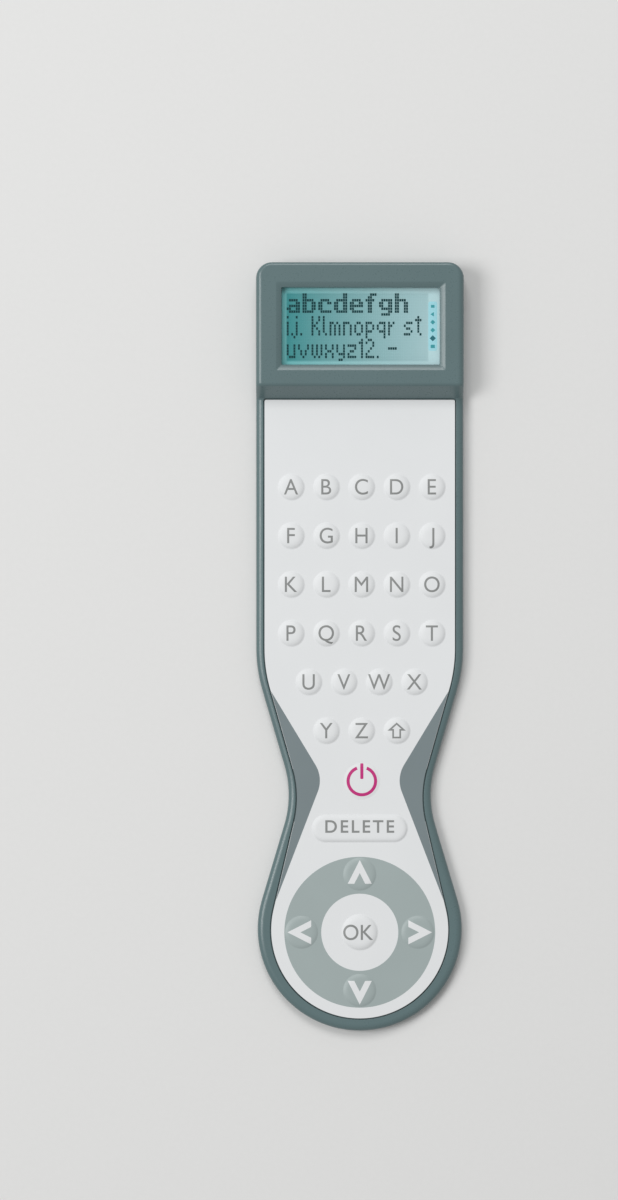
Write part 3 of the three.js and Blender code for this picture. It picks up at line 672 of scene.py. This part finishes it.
def ramp_profile():
    """Points (y, height) where the face climbs from the rim to the head's top."""
    foot_y = FILM_HIGH.y + FILM_GROOVE
    crest_y = foot_y + RAMP_LENGTH
    corners = [
        (foot_y - RAMP_MARGIN, RIM_TOP, 0),
        (foot_y, RIM_TOP, RAMP_FOOT_RADIUS),
        (crest_y, CASE_HIGH.z, RAMP_CREST_RADIUS),
        (crest_y + RAMP_MARGIN, CASE_HIGH.z, 0),
    ]
    return rounded_path(corners)


def height_on(profile, y):
    """Height of the face at y, from the ramp's profile."""
    y = min(max(y, profile[0].x), profile[-1].x)
    low, high = next(ends for ends in zip(profile, profile[1:]) if y <= ends[1].x + TINY)
    return low.y + (high.y - low.y) * (y - low.x) / (high.x - low.x)


def edge_reach(top, out_y):
    """How far the case's rounded edge reaches inwards and down where its face has this height."""
    share = (top - RIM_TOP) / (CASE_HIGH.z - RIM_TOP)
    edge = Vector(RIM_EDGE).lerp(Vector(HEAD_EDGE), share)
    return edge.lerp(Vector(END_EDGE), share * max(0, out_y))


def face_panels(half, rows, start, count):
    """The level faces of rim and head, and a strip between them for each step of the ramp."""
    on_ramp = [i for i, point in enumerate(half) if any(abs(point.y - y) < TINY for y in rows)]
    first, last = on_ramp[0], on_ramp[-1]
    panels = [[*range(first + 1), *range(count - first, count)], range(last, count - last + 1)]
    panels += [(i, i + 1, count - i - 1, count - i) for i in range(first, last)]
    return [[start + i for i in panel] for panel in panels]


def front_skin():
    """The front shell's outside as one solid: rounded rim, ramp and head."""
    profile = ramp_profile()
    rows = [point.x for point in profile]
    half = with_rows(CASE_HALF, rows)
    loop = mirrored(half)
    outward = [out - point for out, point in zip(grown(loop, 1), loop)]
    tops = [height_on(profile, point.y) for point in loop]
    reaches = [edge_reach(top, out.y) for top, out in zip(tops, outward)]
    rings = [lifted(grown(loop, -SEAM_BEVEL), SEAM), lifted(loop, SEAM + SEAM_BEVEL)]
    for sideways, upwards in quarter_round():
        ring = []
        for point, out, top, (inward, down) in zip(loop, outward, tops, reaches):
            moved = point - out * inward * sideways
            ring.append((moved.x, moved.y, top - down * (1 - upwards)))
        rings.append(ring)
    count = len(loop)
    faces = ring_faces(len(rings), count, closed=False) + [range(count)]
    faces += face_panels(half, rows, (len(rings) - 1) * count, count)
    return mesh_object("case_front", [point for ring in rings for point in ring], faces)


def recess_cutter():
    """What the keypad takes away: the film's seat, and a groove round it with a softened edge."""
    film = mirrored(FILM_HALF)
    loop = grown(film, FILM_GROOVE)
    bed = FILM_LOW.z - GROOVE_DEPTH
    rings = [lifted(film, FILM_LOW.z), lifted(film, bed), lifted(loop, bed)]
    rings += rounded_rings(loop, GROOVE_EDGE, GROOVE_EDGE, RIM_TOP, GROOVE_EDGE_STEPS)
    rings.append(lifted(grown(loop, GROOVE_EDGE), CASE_HIGH.z + OVERRUN))
    return stacked("cutter", rings)


def window_cutter():
    """What the window takes away: a straight opening, and the chamfer's rings over it."""
    steps = [(0, LENS_HIGH.z - OVERRUN)]
    steps += [(out, CASE_HIGH.z - below) for out, below in WINDOW_RINGS]
    steps.append((WINDOW_RINGS[-1][0], CASE_HIGH.z + OVERRUN))
    rings = []
    for out, height in steps:
        loop = box_outline(LENS_LOW, LENS_HIGH, out - LENS_LAP, WINDOW_CORNER_RADIUS)
        rings.append(lifted(loop, height))
    return stacked("cutter", rings)


def make_case_front():
    loop = mirrored(CASE_HALF)
    top_y, radius = CASE_HIGH.y - FRONT_WALL, TOP_CORNER_RADIUS - FRONT_WALL
    middle_y, length = (top_y + HEAD_CAVITY_FOOT_Y) / 2, top_y - HEAD_CAVITY_FOOT_Y
    cavity = rectangle(0, middle_y, 2 * (CASE_HIGH.x - FRONT_WALL), length, radius)
    cutters = [
        recess_cutter(),
        prism(grown(loop, -FRONT_WALL), SEAM - OVERRUN, PLATE_BOTTOM),
        prism(cavity, SEAM - OVERRUN, LENS_HIGH.z),
        window_cutter(),
    ]
    shell = combine(front_skin(), cutters)
    finish_piece(shell, [CASE_GREY], ["front_case"])


def compartment(grow):
    """The battery compartment's outline, grown by a distance."""
    within_door = DOOR_CLEARANCE - DOOR_LEDGE
    return box_outline(DOOR_LOW, DOOR_HIGH, within_door + grow, COMPARTMENT_CORNER_RADIUS + grow)


def screw_cutters(place, seat, top):
    """Holes from below for a screw's head and for its shank."""
    return [
        prism(circle(place, HEAD_HOLE_RADIUS), -OVERRUN, seat),
        prism(circle(place, SHANK_HOLE_RADIUS), -OVERRUN, top),
    ]


def make_case_rear():
    loop = mirrored(CASE_HALF)
    rings = [lifted(grown(loop, -SEAM_BEVEL), SEAM), lifted(loop, SEAM - SEAM_BEVEL)]
    shell = stacked("case_rear", rings + rounded_rings(loop, -REAR_EDGE, -REAR_EDGE, 0))
    combine(shell, [prism(grown(loop, -REAR_WALL), REAR_FLOOR, SEAM + OVERRUN)])
    places = [middle_of(name) for name in CASE_SCREWS]
    in_floor = REAR_FLOOR / 2
    bosses = [prism(circle(place, BOSS_RADIUS), in_floor, SEAM) for place in places]
    walls = prism(compartment(DOOR_LEDGE + COMPARTMENT_WALL), in_floor, REAR_TOP)
    combine(shell, [walls, *bosses], "UNION")
    combine(shell, [prism(compartment(0), -OVERRUN, REAR_TOP + OVERRUN)])
    door_screw = middle_of("battery_door_screw")
    thread_top = node_box("battery_door_screw")[1].z + SCREW_TIP_GAP
    combine(shell, [prism(circle(door_screw, BOSS_RADIUS), REAR_FLOOR, REAR_TOP)], "UNION")
    cutters = [
        prism(compartment(DOOR_LEDGE), -OVERRUN, REAR_FLOOR),
        prism(circle(door_screw, THREAD_HOLE_RADIUS), -OVERRUN, thread_top),
    ]
    seat = node_box(CASE_SCREWS[0])[0].z + CASE_SCREW_HEAD
    for place in places:
        cutters += screw_cutters(place, seat, SEAM + OVERRUN)
    combine(shell, cutters)
    finish_piece(shell, [CASE_GREY], ["rear_cover"])


def make_battery_door():
    outline = compartment(DOOR_LEDGE - DOOR_CLEARANCE)
    rings = [
        lifted(grown(outline, -DOOR_EDGE), DOOR_LOW.z),
        lifted(outline, DOOR_LOW.z + DOOR_EDGE),
        lifted(outline, DOOR_HIGH.z),
    ]
    notch = Vector((0, DOOR_LOW.y - NOTCH_RADIUS + NOTCH_REACH))
    cutters = [prism(circle(notch, NOTCH_RADIUS), -OVERRUN, NOTCH_DEPTH)]
    screw, seat = middle_of("battery_door_screw"), DOOR_LOW.z + DOOR_SCREW_HEAD
    cutters += screw_cutters(screw, seat, DOOR_HIGH.z + OVERRUN)
    for i in range(RIB_COUNT):
        y = DOOR_LOW.y + RIB_START + i * RIB_PITCH
        rib = rectangle(0, y, RIB_LENGTH, RIB_WIDTH, RIB_WIDTH / 2)
        cutters.append(prism(rib, -OVERRUN, DOOR_LOW.z + RIB_DEPTH))
    door = combine(stacked("battery_cover", rings), cutters)
    finish_piece(door, [CASE_GREY], ["battery_door"], "battery_door")


# ---- Fasteners and cells ----


def cross_cutters(x, y, span, width, top):
    """Two crossed slots, cut in from below up to a height."""
    arms = ((span, width), (width, span))
    return [prism(rectangle(x, y, *arm), -OVERRUN, top) for arm in arms]


def make_screw(node, head_height, body):
    low, high = node_box(node)
    middle, seat = (low + high) / 2, low.z + head_height
    profile = [
        (SCREW_HEAD_RADIUS - SCREW_EDGE, low.z),
        (SCREW_HEAD_RADIUS, low.z + SCREW_EDGE),
        (SCREW_HEAD_RADIUS, seat),
        (SCREW_ROOT, seat),
    ]
    for i in range(int((high.z - SCREW_RADIUS - seat) / THREAD_PITCH)):
        profile += [(radius, seat + THREAD_PITCH * (i + share)) for radius, share in THREAD_TURN]
    profile += [(SCREW_ROOT, high.z - SCREW_ROOT), (SCREW_TIP, high.z)]
    slots = cross_cutters(middle.x, middle.y, CROSS_SPAN, CROSS_WIDTH, low.z + CROSS_DEPTH)
    screw = combine(lathe(node + "_driven", middle, profile, SCREW_SIDES), slots)
    finish_piece(screw, [SCREW_STEEL], [node], body)


def make_cell(node, cap_up):
    """A coin cell: a can with rolled edges, a gasket, a narrower cap, and a plus on the can."""
    low, high = node_box(node)
    middle, radius = (low + high) / 2, (high.x - low.x) / 2
    can_top, gasket_radius = high.z - CELL_CAP_HEIGHT, CELL_CAP_RADIUS + CELL_GASKET
    profile = [(radius - CELL_EDGE * inwards, low.z + CELL_EDGE * up) for inwards, up in CAN_FOOT]
    for inwards, down in CAN_CREST:
        profile.append((radius - CELL_EDGE * inwards, can_top - CELL_EDGE * down))
    profile += [
        (gasket_radius, can_top),
        (gasket_radius, can_top - CELL_EDGE),
        (CELL_CAP_RADIUS, can_top - CELL_EDGE),
        (CELL_CAP_RADIUS, high.z - CELL_CAP_EDGE),
        (CELL_CAP_RADIUS - CELL_CAP_EDGE, high.z),
    ]
    plus_y, plus_top = middle.y + radius / 2, low.z + PLUS_DEPTH
    plus = cross_cutters(middle.x, plus_y, PLUS_SPAN, PLUS_WIDTH, plus_top)
    cell = combine(lathe(node + "_can", middle, profile, CELL_SIDES), plus)
    if not cap_up:
        flip = Matrix.Translation((0, 0, low.z + high.z)) @ Matrix.Scale(-1, 4, (0, 0, 1))
        cell.data.transform(flip)
        cell.data.flip_normals()
    metal = turned_metal(node + "_nickel", (196, 197, 196), 0.25, middle)
    finish_piece(cell, [metal], [node])


# ---- Film, prints and bumps ----


def make_film():
    """The film, with the wings' grey run over its edge."""
    loop = mirrored(with_rows(FILM_HALF, (WING_TOP_Y, WING_FOOT_Y)))
    edge = rounded_rings(loop, -FILM_EDGE, FILM_EDGE, FILM_HIGH.z, FILM_EDGE_STEPS)
    film = stacked("keypad_film", [lifted(loop, FILM_LOW.z), *edge])
    for face in film.data.polygons:
        heights = [film.data.vertices[v].co.y for v in face.vertices]
        if min(heights) > WING_FOOT_Y - TINY and max(heights) < WING_TOP_Y + TINY:
            face.material_index = 1
    finish_piece(film, [FILM_WHITE, WING_GREY], ["keypad_overlay"])


def flat_polygon(points):
    """A flat shape with one outline."""
    shape = bmesh.new()
    shape.faces.new([shape.verts.new((p[0], p[1], 0)) for p in points])
    bmesh.ops.triangulate(shape, faces=shape.faces)
    return shape


def flat_band(outer, inner, closed=True):
    """The flat strip between two outlines with the same number of points."""
    shape = bmesh.new()
    rows = [[shape.verts.new((p[0], p[1], 0)) for p in side] for side in (outer, inner)]
    count = len(outer)
    for i in range(count if closed else count - 1):
        j = (i + 1) % count
        shape.faces.new([rows[0][i], rows[0][j], rows[1][j], rows[1][i]])
    return shape


def flat_lettering(text, style, place):
    """Flat letters whose capitals are centred on a point."""
    size, weight, spacing, width_share = style
    curve = bpy.data.curves.new("lettering", "FONT")
    curve.body, curve.size, curve.offset = text, size, weight
    curve.space_character = spacing
    holder = placed("lettering", curve)
    graph = bpy.context.evaluated_depsgraph_get()
    mesh = bpy.data.meshes.new_from_object(holder.evaluated_get(graph))
    bpy.data.objects.remove(holder)
    mesh.transform(Matrix.Diagonal((width_share, 1, 1, 1)))
    middle = (min(v.co.x for v in mesh.vertices) + max(v.co.x for v in mesh.vertices)) / 2
    mesh.transform(Matrix.Translation((place.x - middle, place.y - size * CAPITAL_HEIGHT / 2, 0)))
    shape = bmesh.new()
    add_mesh(shape, mesh)
    bmesh.ops.remove_doubles(shape, verts=shape.verts, dist=TINY)
    return shape


def add_mesh(shape, mesh):
    """Moves a mesh's faces into a bmesh shape."""
    shape.from_mesh(mesh)
    bpy.data.meshes.remove(mesh)


def draped(shape, height_at):
    """Turns a flat shape into a thin closed skin over a surface that a function gives."""
    for axis in (0, 1):
        values = [v.co[axis] for v in shape.verts]
        line = math.ceil(min(values) / INK_GRID) * INK_GRID
        way = Matrix.Identity(3)[axis]
        while line < max(values):
            geom = shape.verts[:] + shape.edges[:] + shape.faces[:]
            bmesh.ops.bisect_plane(shape, geom=geom, plane_co=way * line, plane_no=way, dist=TINY)
            line += INK_GRID
    bmesh.ops.remove_doubles(shape, verts=shape.verts, dist=TINY)
    loose = [v for v in shape.verts if not v.link_faces]
    bmesh.ops.delete(shape, geom=loose, context="VERTS")
    copied = bmesh.ops.extrude_face_region(shape, geom=shape.faces[:], use_keep_orig=True)
    upper = {v for v in copied["geom"] if isinstance(v, bmesh.types.BMVert)}
    for v in shape.verts:
        v.co.z = height_at(v.co.x, v.co.y) + (INK_LIFT if v in upper else -INK_DEPTH)
    bmesh.ops.recalc_face_normals(shape, faces=shape.faces)
    return shape


def make_print(name, shape, material):
    skin = draped(shape, lambda x, y: FILM_HIGH.z)
    finish_piece(placed(name, mesh_of(name, skin)), [material], soften=False)


def make_prints():
    """The grey wings at the waist and the ring round the cursor keys."""
    half = with_rows(FILM_HALF, (WING_TOP_Y, WING_FOOT_Y))
    inset = grown(mirrored(half), -FILM_EDGE)
    on_wing = [WING_FOOT_Y - TINY < point.y < WING_TOP_Y + TINY for point in half]
    edge = [point for point, inside in zip(inset, on_wing) if inside]
    inner = rounded_path([edge[0], WING_TIP, edge[-1]])
    for name, side in (("print_wing_right", 1), ("print_wing_left", -1)):
        outline = [(side * p.x, p.y) for p in inner + edge[-2:0:-1]]
        make_print(name, flat_polygon(outline), WING_GREY)
    middle = middle_of("key_ok")
    rims = [circle(middle, radius, NAV_RING_SIDES) for radius in (NAV_RING_OUTER, NAV_RING_INNER)]
    make_print("print_cursor_ring", flat_band(*rims), RING_GREEN)


class Bump:
    """A low dome over a key, with a soft foot. Its plan is a circle, or a bar with round ends."""

    def __init__(self, node, shoulder=BUMP_SHOULDER, trim=0):
        low, high = node_box(node)
        self.node = node
        self.place = middle_of(node).xy
        self.radius = (high.y - low.y) / 2 - BUMP_MARGIN - trim
        self.half_run = ((high.x - low.x) - (high.y - low.y)) / 2
        self.rise, self.shoulder = high.z - FILM_HIGH.z, shoulder

    def plan(self, inset):
        if self.half_run < TINY:
            return circle(self.place, self.radius - inset)
        width = 2 * self.radius
        return grown(rectangle(*self.place, 2 * self.half_run + width, width, self.radius), -inset)

    def profile(self, inset):
        """Height above the film: level crown, an ever steeper flank, and a hollow round foot."""
        power = BUMP_CURVE + 1
        steepest = self.rise / (self.shoulder / power + BUMP_FOOT / 2)
        if inset > 0:
            below = max(0, 1 - inset / self.shoulder)
            return self.rise - steepest * self.shoulder * below**power / power
        return steepest * max(0, inset + BUMP_FOOT) ** 2 / (2 * BUMP_FOOT)

    def height(self, x, y):
        """Height of the dome's surface at a point."""
        across = max(0, abs(x - self.place.x) - self.half_run)
        return FILM_HIGH.z + self.profile(self.radius - math.hypot(across, y - self.place.y))

    def rings(self):
        """Outlines from just within the film, up the foot and the flank, to the crown."""
        insets = [BUMP_FOOT * (s / FOOT_STEPS - 1) for s in range(FOOT_STEPS)]
        for s in range(FLANK_STEPS + 1):
            insets.append(self.shoulder * (s / FLANK_STEPS) ** FLANK_CROWDING)
        rings = [lifted(self.plan(-BUMP_FOOT), FILM_HIGH.z - BUMP_SINK)]
        for inset in insets:
            rings.append(lifted(self.plan(inset), FILM_HIGH.z + self.profile(inset)))
        return rings

    def make(self, legend, surface=FILM_WHITE, ink=LEGEND_GREY):
        """The bump with its printed legend."""
        button = stacked(self.node.replace("key_", "button_"), self.rings())
        skin = draped(legend, self.height)
        for face in skin.faces:
            face.material_index = 1
        whole = bmesh.new()
        whole.from_mesh(button.data)
        add_mesh(whole, mesh_of("legend", skin))
        whole.to_mesh(button.data)
        whole.free()
        finish_piece(button, [surface, ink], [self.node], None, soften=False)
        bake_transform(button)


def chevron(place, turn):
    """A broad arrowhead that points away from the middle of the cursor pad."""
    half, tip = CHEVRON_WIDTH / 2, CHEVRON_LENGTH / 2
    stroke = CHEVRON_STROKE * math.hypot(half, CHEVRON_LENGTH)
    side, back = stroke / CHEVRON_LENGTH, stroke / half
    corners = [(half, -tip), (0, tip), (-half, -tip)]
    corners += [(side - half, -tip), (0, tip - back), (half - side, -tip)]
    spin = Matrix.Rotation(turn, 2)
    return flat_polygon([place + spin @ Vector((x, y + CHEVRON_SHIFT)) for x, y in corners])


def power_symbol(place):
    """An open ring, with a bar that stands in its gap."""
    start, run = math.pi / 2 + POWER_GAP, 2 * (math.pi - POWER_GAP)
    turns = [start + run * i / POWER_RING_STEPS for i in range(POWER_RING_STEPS + 1)]
    half = POWER_STROKE / 2
    sides = [arc(place, POWER_RING_RADIUS + off, turns) for off in (half, -half)]
    middle_y, length = (POWER_BAR_FOOT + POWER_BAR_TOP) / 2, POWER_BAR_TOP - POWER_BAR_FOOT
    bar = rectangle(place.x, place.y + middle_y, POWER_STROKE, length, POWER_BAR_ROUND)
    ring = flat_band(*sides, closed=False)
    add_mesh(ring, mesh_of("bar", flat_polygon(bar)))
    return ring


def shift_symbol(place):
    """A hollow arrow that points up."""
    right = [place + Vector((x, y)) for x, y in SHIFT_HALF]
    left = [place + Vector((-x, y)) for x, y in reversed(SHIFT_HALF[1:])]
    outline = right + left
    return flat_band(outline, grown(outline, -SHIFT_STROKE))


def make_buttons():
    for letter in "ABCDEFGHIJKLMNOPQRSTUVWXYZ":
        bump = Bump("key_" + letter.lower())
        bump.make(flat_lettering(letter, LETTER_STYLE, bump.place + LETTER_SHIFT))
    shift = Bump("key_shift")
    shift.make(shift_symbol(shift.place + LETTER_SHIFT))
    power = Bump("key_power", POWER_SHOULDER)
    power.make(power_symbol(power.place), ink=POWER_PINK)
    bar = Bump("key_delete", PILL_SHOULDER)
    bar.make(flat_lettering("DELETE", DELETE_STYLE, bar.place + DELETE_SHIFT))
    ok = Bump("key_ok")
    ok.make(flat_lettering("OK", OK_STYLE, ok.place + OK_SHIFT))
    for i, name in enumerate(("key_up", "key_left", "key_down", "key_right")):
        bump = Bump(name, ARROW_SHOULDER, ARROW_TRIM)
        bump.make(chevron(bump.place, i * math.pi / 2), RING_GREEN, FILM_WHITE)


# ---- Display ----

# Letters of the display, the heavy ones with a star: rows of dots down to the baseline, and
# after a bar what hangs below it
GLYPHS = """
i # . # # # # #
j ..# ... ..# ..# ..# ..# #.#|.#.
. #
l #. #. #. #. #. #. .#
m ##.#. #.#.# #.#.# #.#.# #.#.#
n ###. #..# #..# #..# #..#
o .##. #..# #..# #..# .##.
p ###. #..# #..# ###. #...|#...
q .### #..# #..# .### ...#|...#
r #.# ##. #.. #.. #..
s .### #... .##. ...# ###.
t .#. ### .#. .#. .#. .#. ..#
u #..# #..# #..# #..# .###
v #...# #...# .#.#. .#.#. ..#..
w #.#.# #.#.# #.#.# #.#.# .#.#.
x #..# #..# .##. #..# #..#
y #..# #..# #..# .### ...#|.##.
z #### ...# .##. #... ####
1 .# ## .# .# .# .# .#
2 .##. #..# ...# ..#. .#.. #... ####
- #### .... .... ....
_ ..
K #..# #..# #.#. ##.. #.#. #..# #..#
a* .####. ....## .##### ##..## .#####
b* ##.... ##.... #####. ##..## ##..## ##..## #####.
c* .####. ##..## ##.... ##.... .#####
d* ....## ....## .##### ##..## ##..## ##..## .#####
e* .####. ##..## ###### ##.... .#####
f* ..### .##.. ####. .##.. .##.. .##.. .##..
g* .##### ##..## ##..## .##### ....##|.####.
h* ##.... ##.... #####. ##..## ##..## ##..## ##..##
"""
GLYPHS = dict(line.split(" ", 1) for line in GLYPHS.split("\n")[1:-1])
DISPLAY_ROWS = ([letter + "*" for letter in "abcdefgh"], "ij._Klmnopqr_st", "uvwxyz12._-")


def dots_of_row(glyphs, row):
    """Column and line of each dark dot in one row of text."""
    column = 0
    for name in glyphs:
        above, _, below = GLYPHS[name].partition("|")
        above, below = above.split(), below.split()
        top = row * TEXT_ROW_DOTS + TEXT_BASELINE - len(above)
        for line, dots in enumerate(above + below):
            yield from ((column + i, top + line) for i, dot in enumerate(dots) if dot == "#")
        column += len(above[0]) + 1


def finish_display_piece(piece, material):
    finish_piece(piece, [material], soften=False)


def make_display():
    """The display's face, and the dots and icons that stand on it."""
    face_top = GLASS_HIGH.z + POLARISER_THICKNESS
    loop = box_outline(GLASS_LOW, GLASS_HIGH, -POLARISER_BORDER, WINDOW_CORNER_RADIUS)
    face = prism(loop, GLASS_HIGH.z, face_top, "display_polariser")
    finish_display_piece(face, DISPLAY_FACE)
    make_text(face_top)
    make_icons(face_top)


def make_text(face_top):
    points, faces = [], []
    dot_faces = ring_faces(2, 4)
    for row, glyphs in enumerate(DISPLAY_ROWS):
        for column, line in dots_of_row(glyphs, row):
            x = DOT_LEFT + (column + 0.5) * DOT_PITCH_X
            y = DOT_TOP - (line + 0.5) * DOT_PITCH_Y
            loop = rectangle(x, y, DOT_PITCH_X - DOT_GAP, DOT_PITCH_Y - DOT_GAP)
            faces += [[len(points) + i for i in face] for face in dot_faces]
            points += lifted(loop, face_top) + lifted(loop, face_top + DOT_THICKNESS)
    finish_display_piece(mesh_object("display_text", points, faces), DOT_INK)


# Shapes of the status icons at a size of 1
BLOCK = ((-1, -0.8), (1, -0.8), (1, 0.8), (-1, 0.8))
DIAMOND = ((0, -1), (1, 0), (0, 1), (-1, 0))
POINTER = ((-1, 0), (0.5, -1), (0.5, 1))
# The icons down the display's right edge: place, shape, size and ink
ICONS = (
    (81.65, BLOCK, 0.42, ICON_INK),
    (79.75, POINTER, 0.55, ICON_INK),
    (77.85, DIAMOND, 0.58, ICON_INK),
    (75.95, DIAMOND, 0.58, ICON_INK),
    (74.0, DIAMOND, 0.74, ICON_DARK),
    (72.05, BLOCK, 0.5, ICON_INK),
)


def make_icons(face_top):
    """A pale strip with the status icons on it."""
    middle_y, length = (STRIP_FOOT + STRIP_TOP) / 2, STRIP_TOP - STRIP_FOOT
    loop = rectangle(ICON_X, middle_y, STRIP_WIDTH, length, STRIP_CORNER_RADIUS)
    strip = prism(loop, face_top, face_top + STRIP_THICKNESS, "display_icon_strip")
    finish_display_piece(strip, ICON_PALE)
    for i, (y, shape, size, ink) in enumerate(ICONS):
        loop = [Vector((ICON_X + size * across, y + size * up)) for across, up in shape]
        icon = prism(loop, face_top, face_top + DOT_THICKNESS, f"display_icon_{i + 1}")
        finish_display_piece(icon, ink)


# ---- Table, lights and camera ----

WHITE = (1, 1, 1, 1)
FLOOR_COLOUR, FLOOR_FIBRE, FLOOR_MOTTLE, FLOOR_ROUGHNESS = (222, 222, 221), 1.2, 0.006, 0.8
FLOOR_SIZE = 6
FLOOR_DROP = 0.0001
# Lamps, left of the object and beyond its head: the place of each, and its share of the light
# on a level face
LAMPS = (((-1.0, 0.1, 1.26), 0.33), ((-0.1, 1.0, 1.26), 0.27))
LAMP_SIZE, LAMP_GAIN = 0.7, 1.03
SKY_SHARE = 0.4


def make_camera():
    data = bpy.data.cameras.new("camera")
    data.lens, data.sensor_width = LENS_MM, SENSOR_MM
    camera = placed("camera", data)
    camera.location = (AIM_X, AIM_Y, FILM_HIGH.z * MM + VIEW_HEIGHT * LENS_MM / SENSOR_MM)
    bpy.context.scene.camera = camera


def make_floor():
    corners = lifted(rectangle(0, 0, FLOOR_SIZE, FLOOR_SIZE), -FLOOR_DROP)
    floor = mesh_object("table", corners, [range(4)])
    surface = Surface("table_surface")
    fibres = surface.noise(FLOOR_FIBRE, detail=4)
    surface.set(
        Base_Color=surface.mottled(FLOOR_COLOUR, fibres, FLOOR_MOTTLE),
        Roughness=FLOOR_ROUGHNESS,
    )
    floor.data.materials.append(surface.material)


def make_lights():
    """Soft lamps and an even sky. A level face looks as its colour is written."""
    for i, (place, share) in enumerate(LAMPS):
        place = Vector(place)
        data = bpy.data.lights.new(f"lamp_{i + 1}", "AREA")
        data.size = LAMP_SIZE
        level = place.z / place.length
        data.energy = LAMP_GAIN * share * math.pi**2 * place.length_squared / level
        lamp = placed(data.name, data)
        lamp.location = place
        lamp.rotation_mode = "QUATERNION"
        lamp.rotation_quaternion = (-place).to_track_quat("-Z", "Y")
    world = bpy.data.worlds.new("sky")
    world.use_nodes = True
    sky = world.node_tree.nodes["Background"].inputs
    sky["Color"].default_value = WHITE
    sky["Strength"].default_value = SKY_SHARE
    bpy.context.scene.world = world
    bpy.context.scene.view_settings.view_transform = "Standard"


make_camera()
dress_nodes()
make_case_front()
make_case_rear()
make_battery_door()
for screw_node in CASE_SCREWS:
    make_screw(screw_node, CASE_SCREW_HEAD, "root")
make_screw("battery_door_screw", DOOR_SCREW_HEAD, "battery_door")
make_cell("coin_cell_left", True)
make_cell("coin_cell_right", False)
make_film()
make_prints()
make_buttons()
make_display()
make_floor()
make_lights()
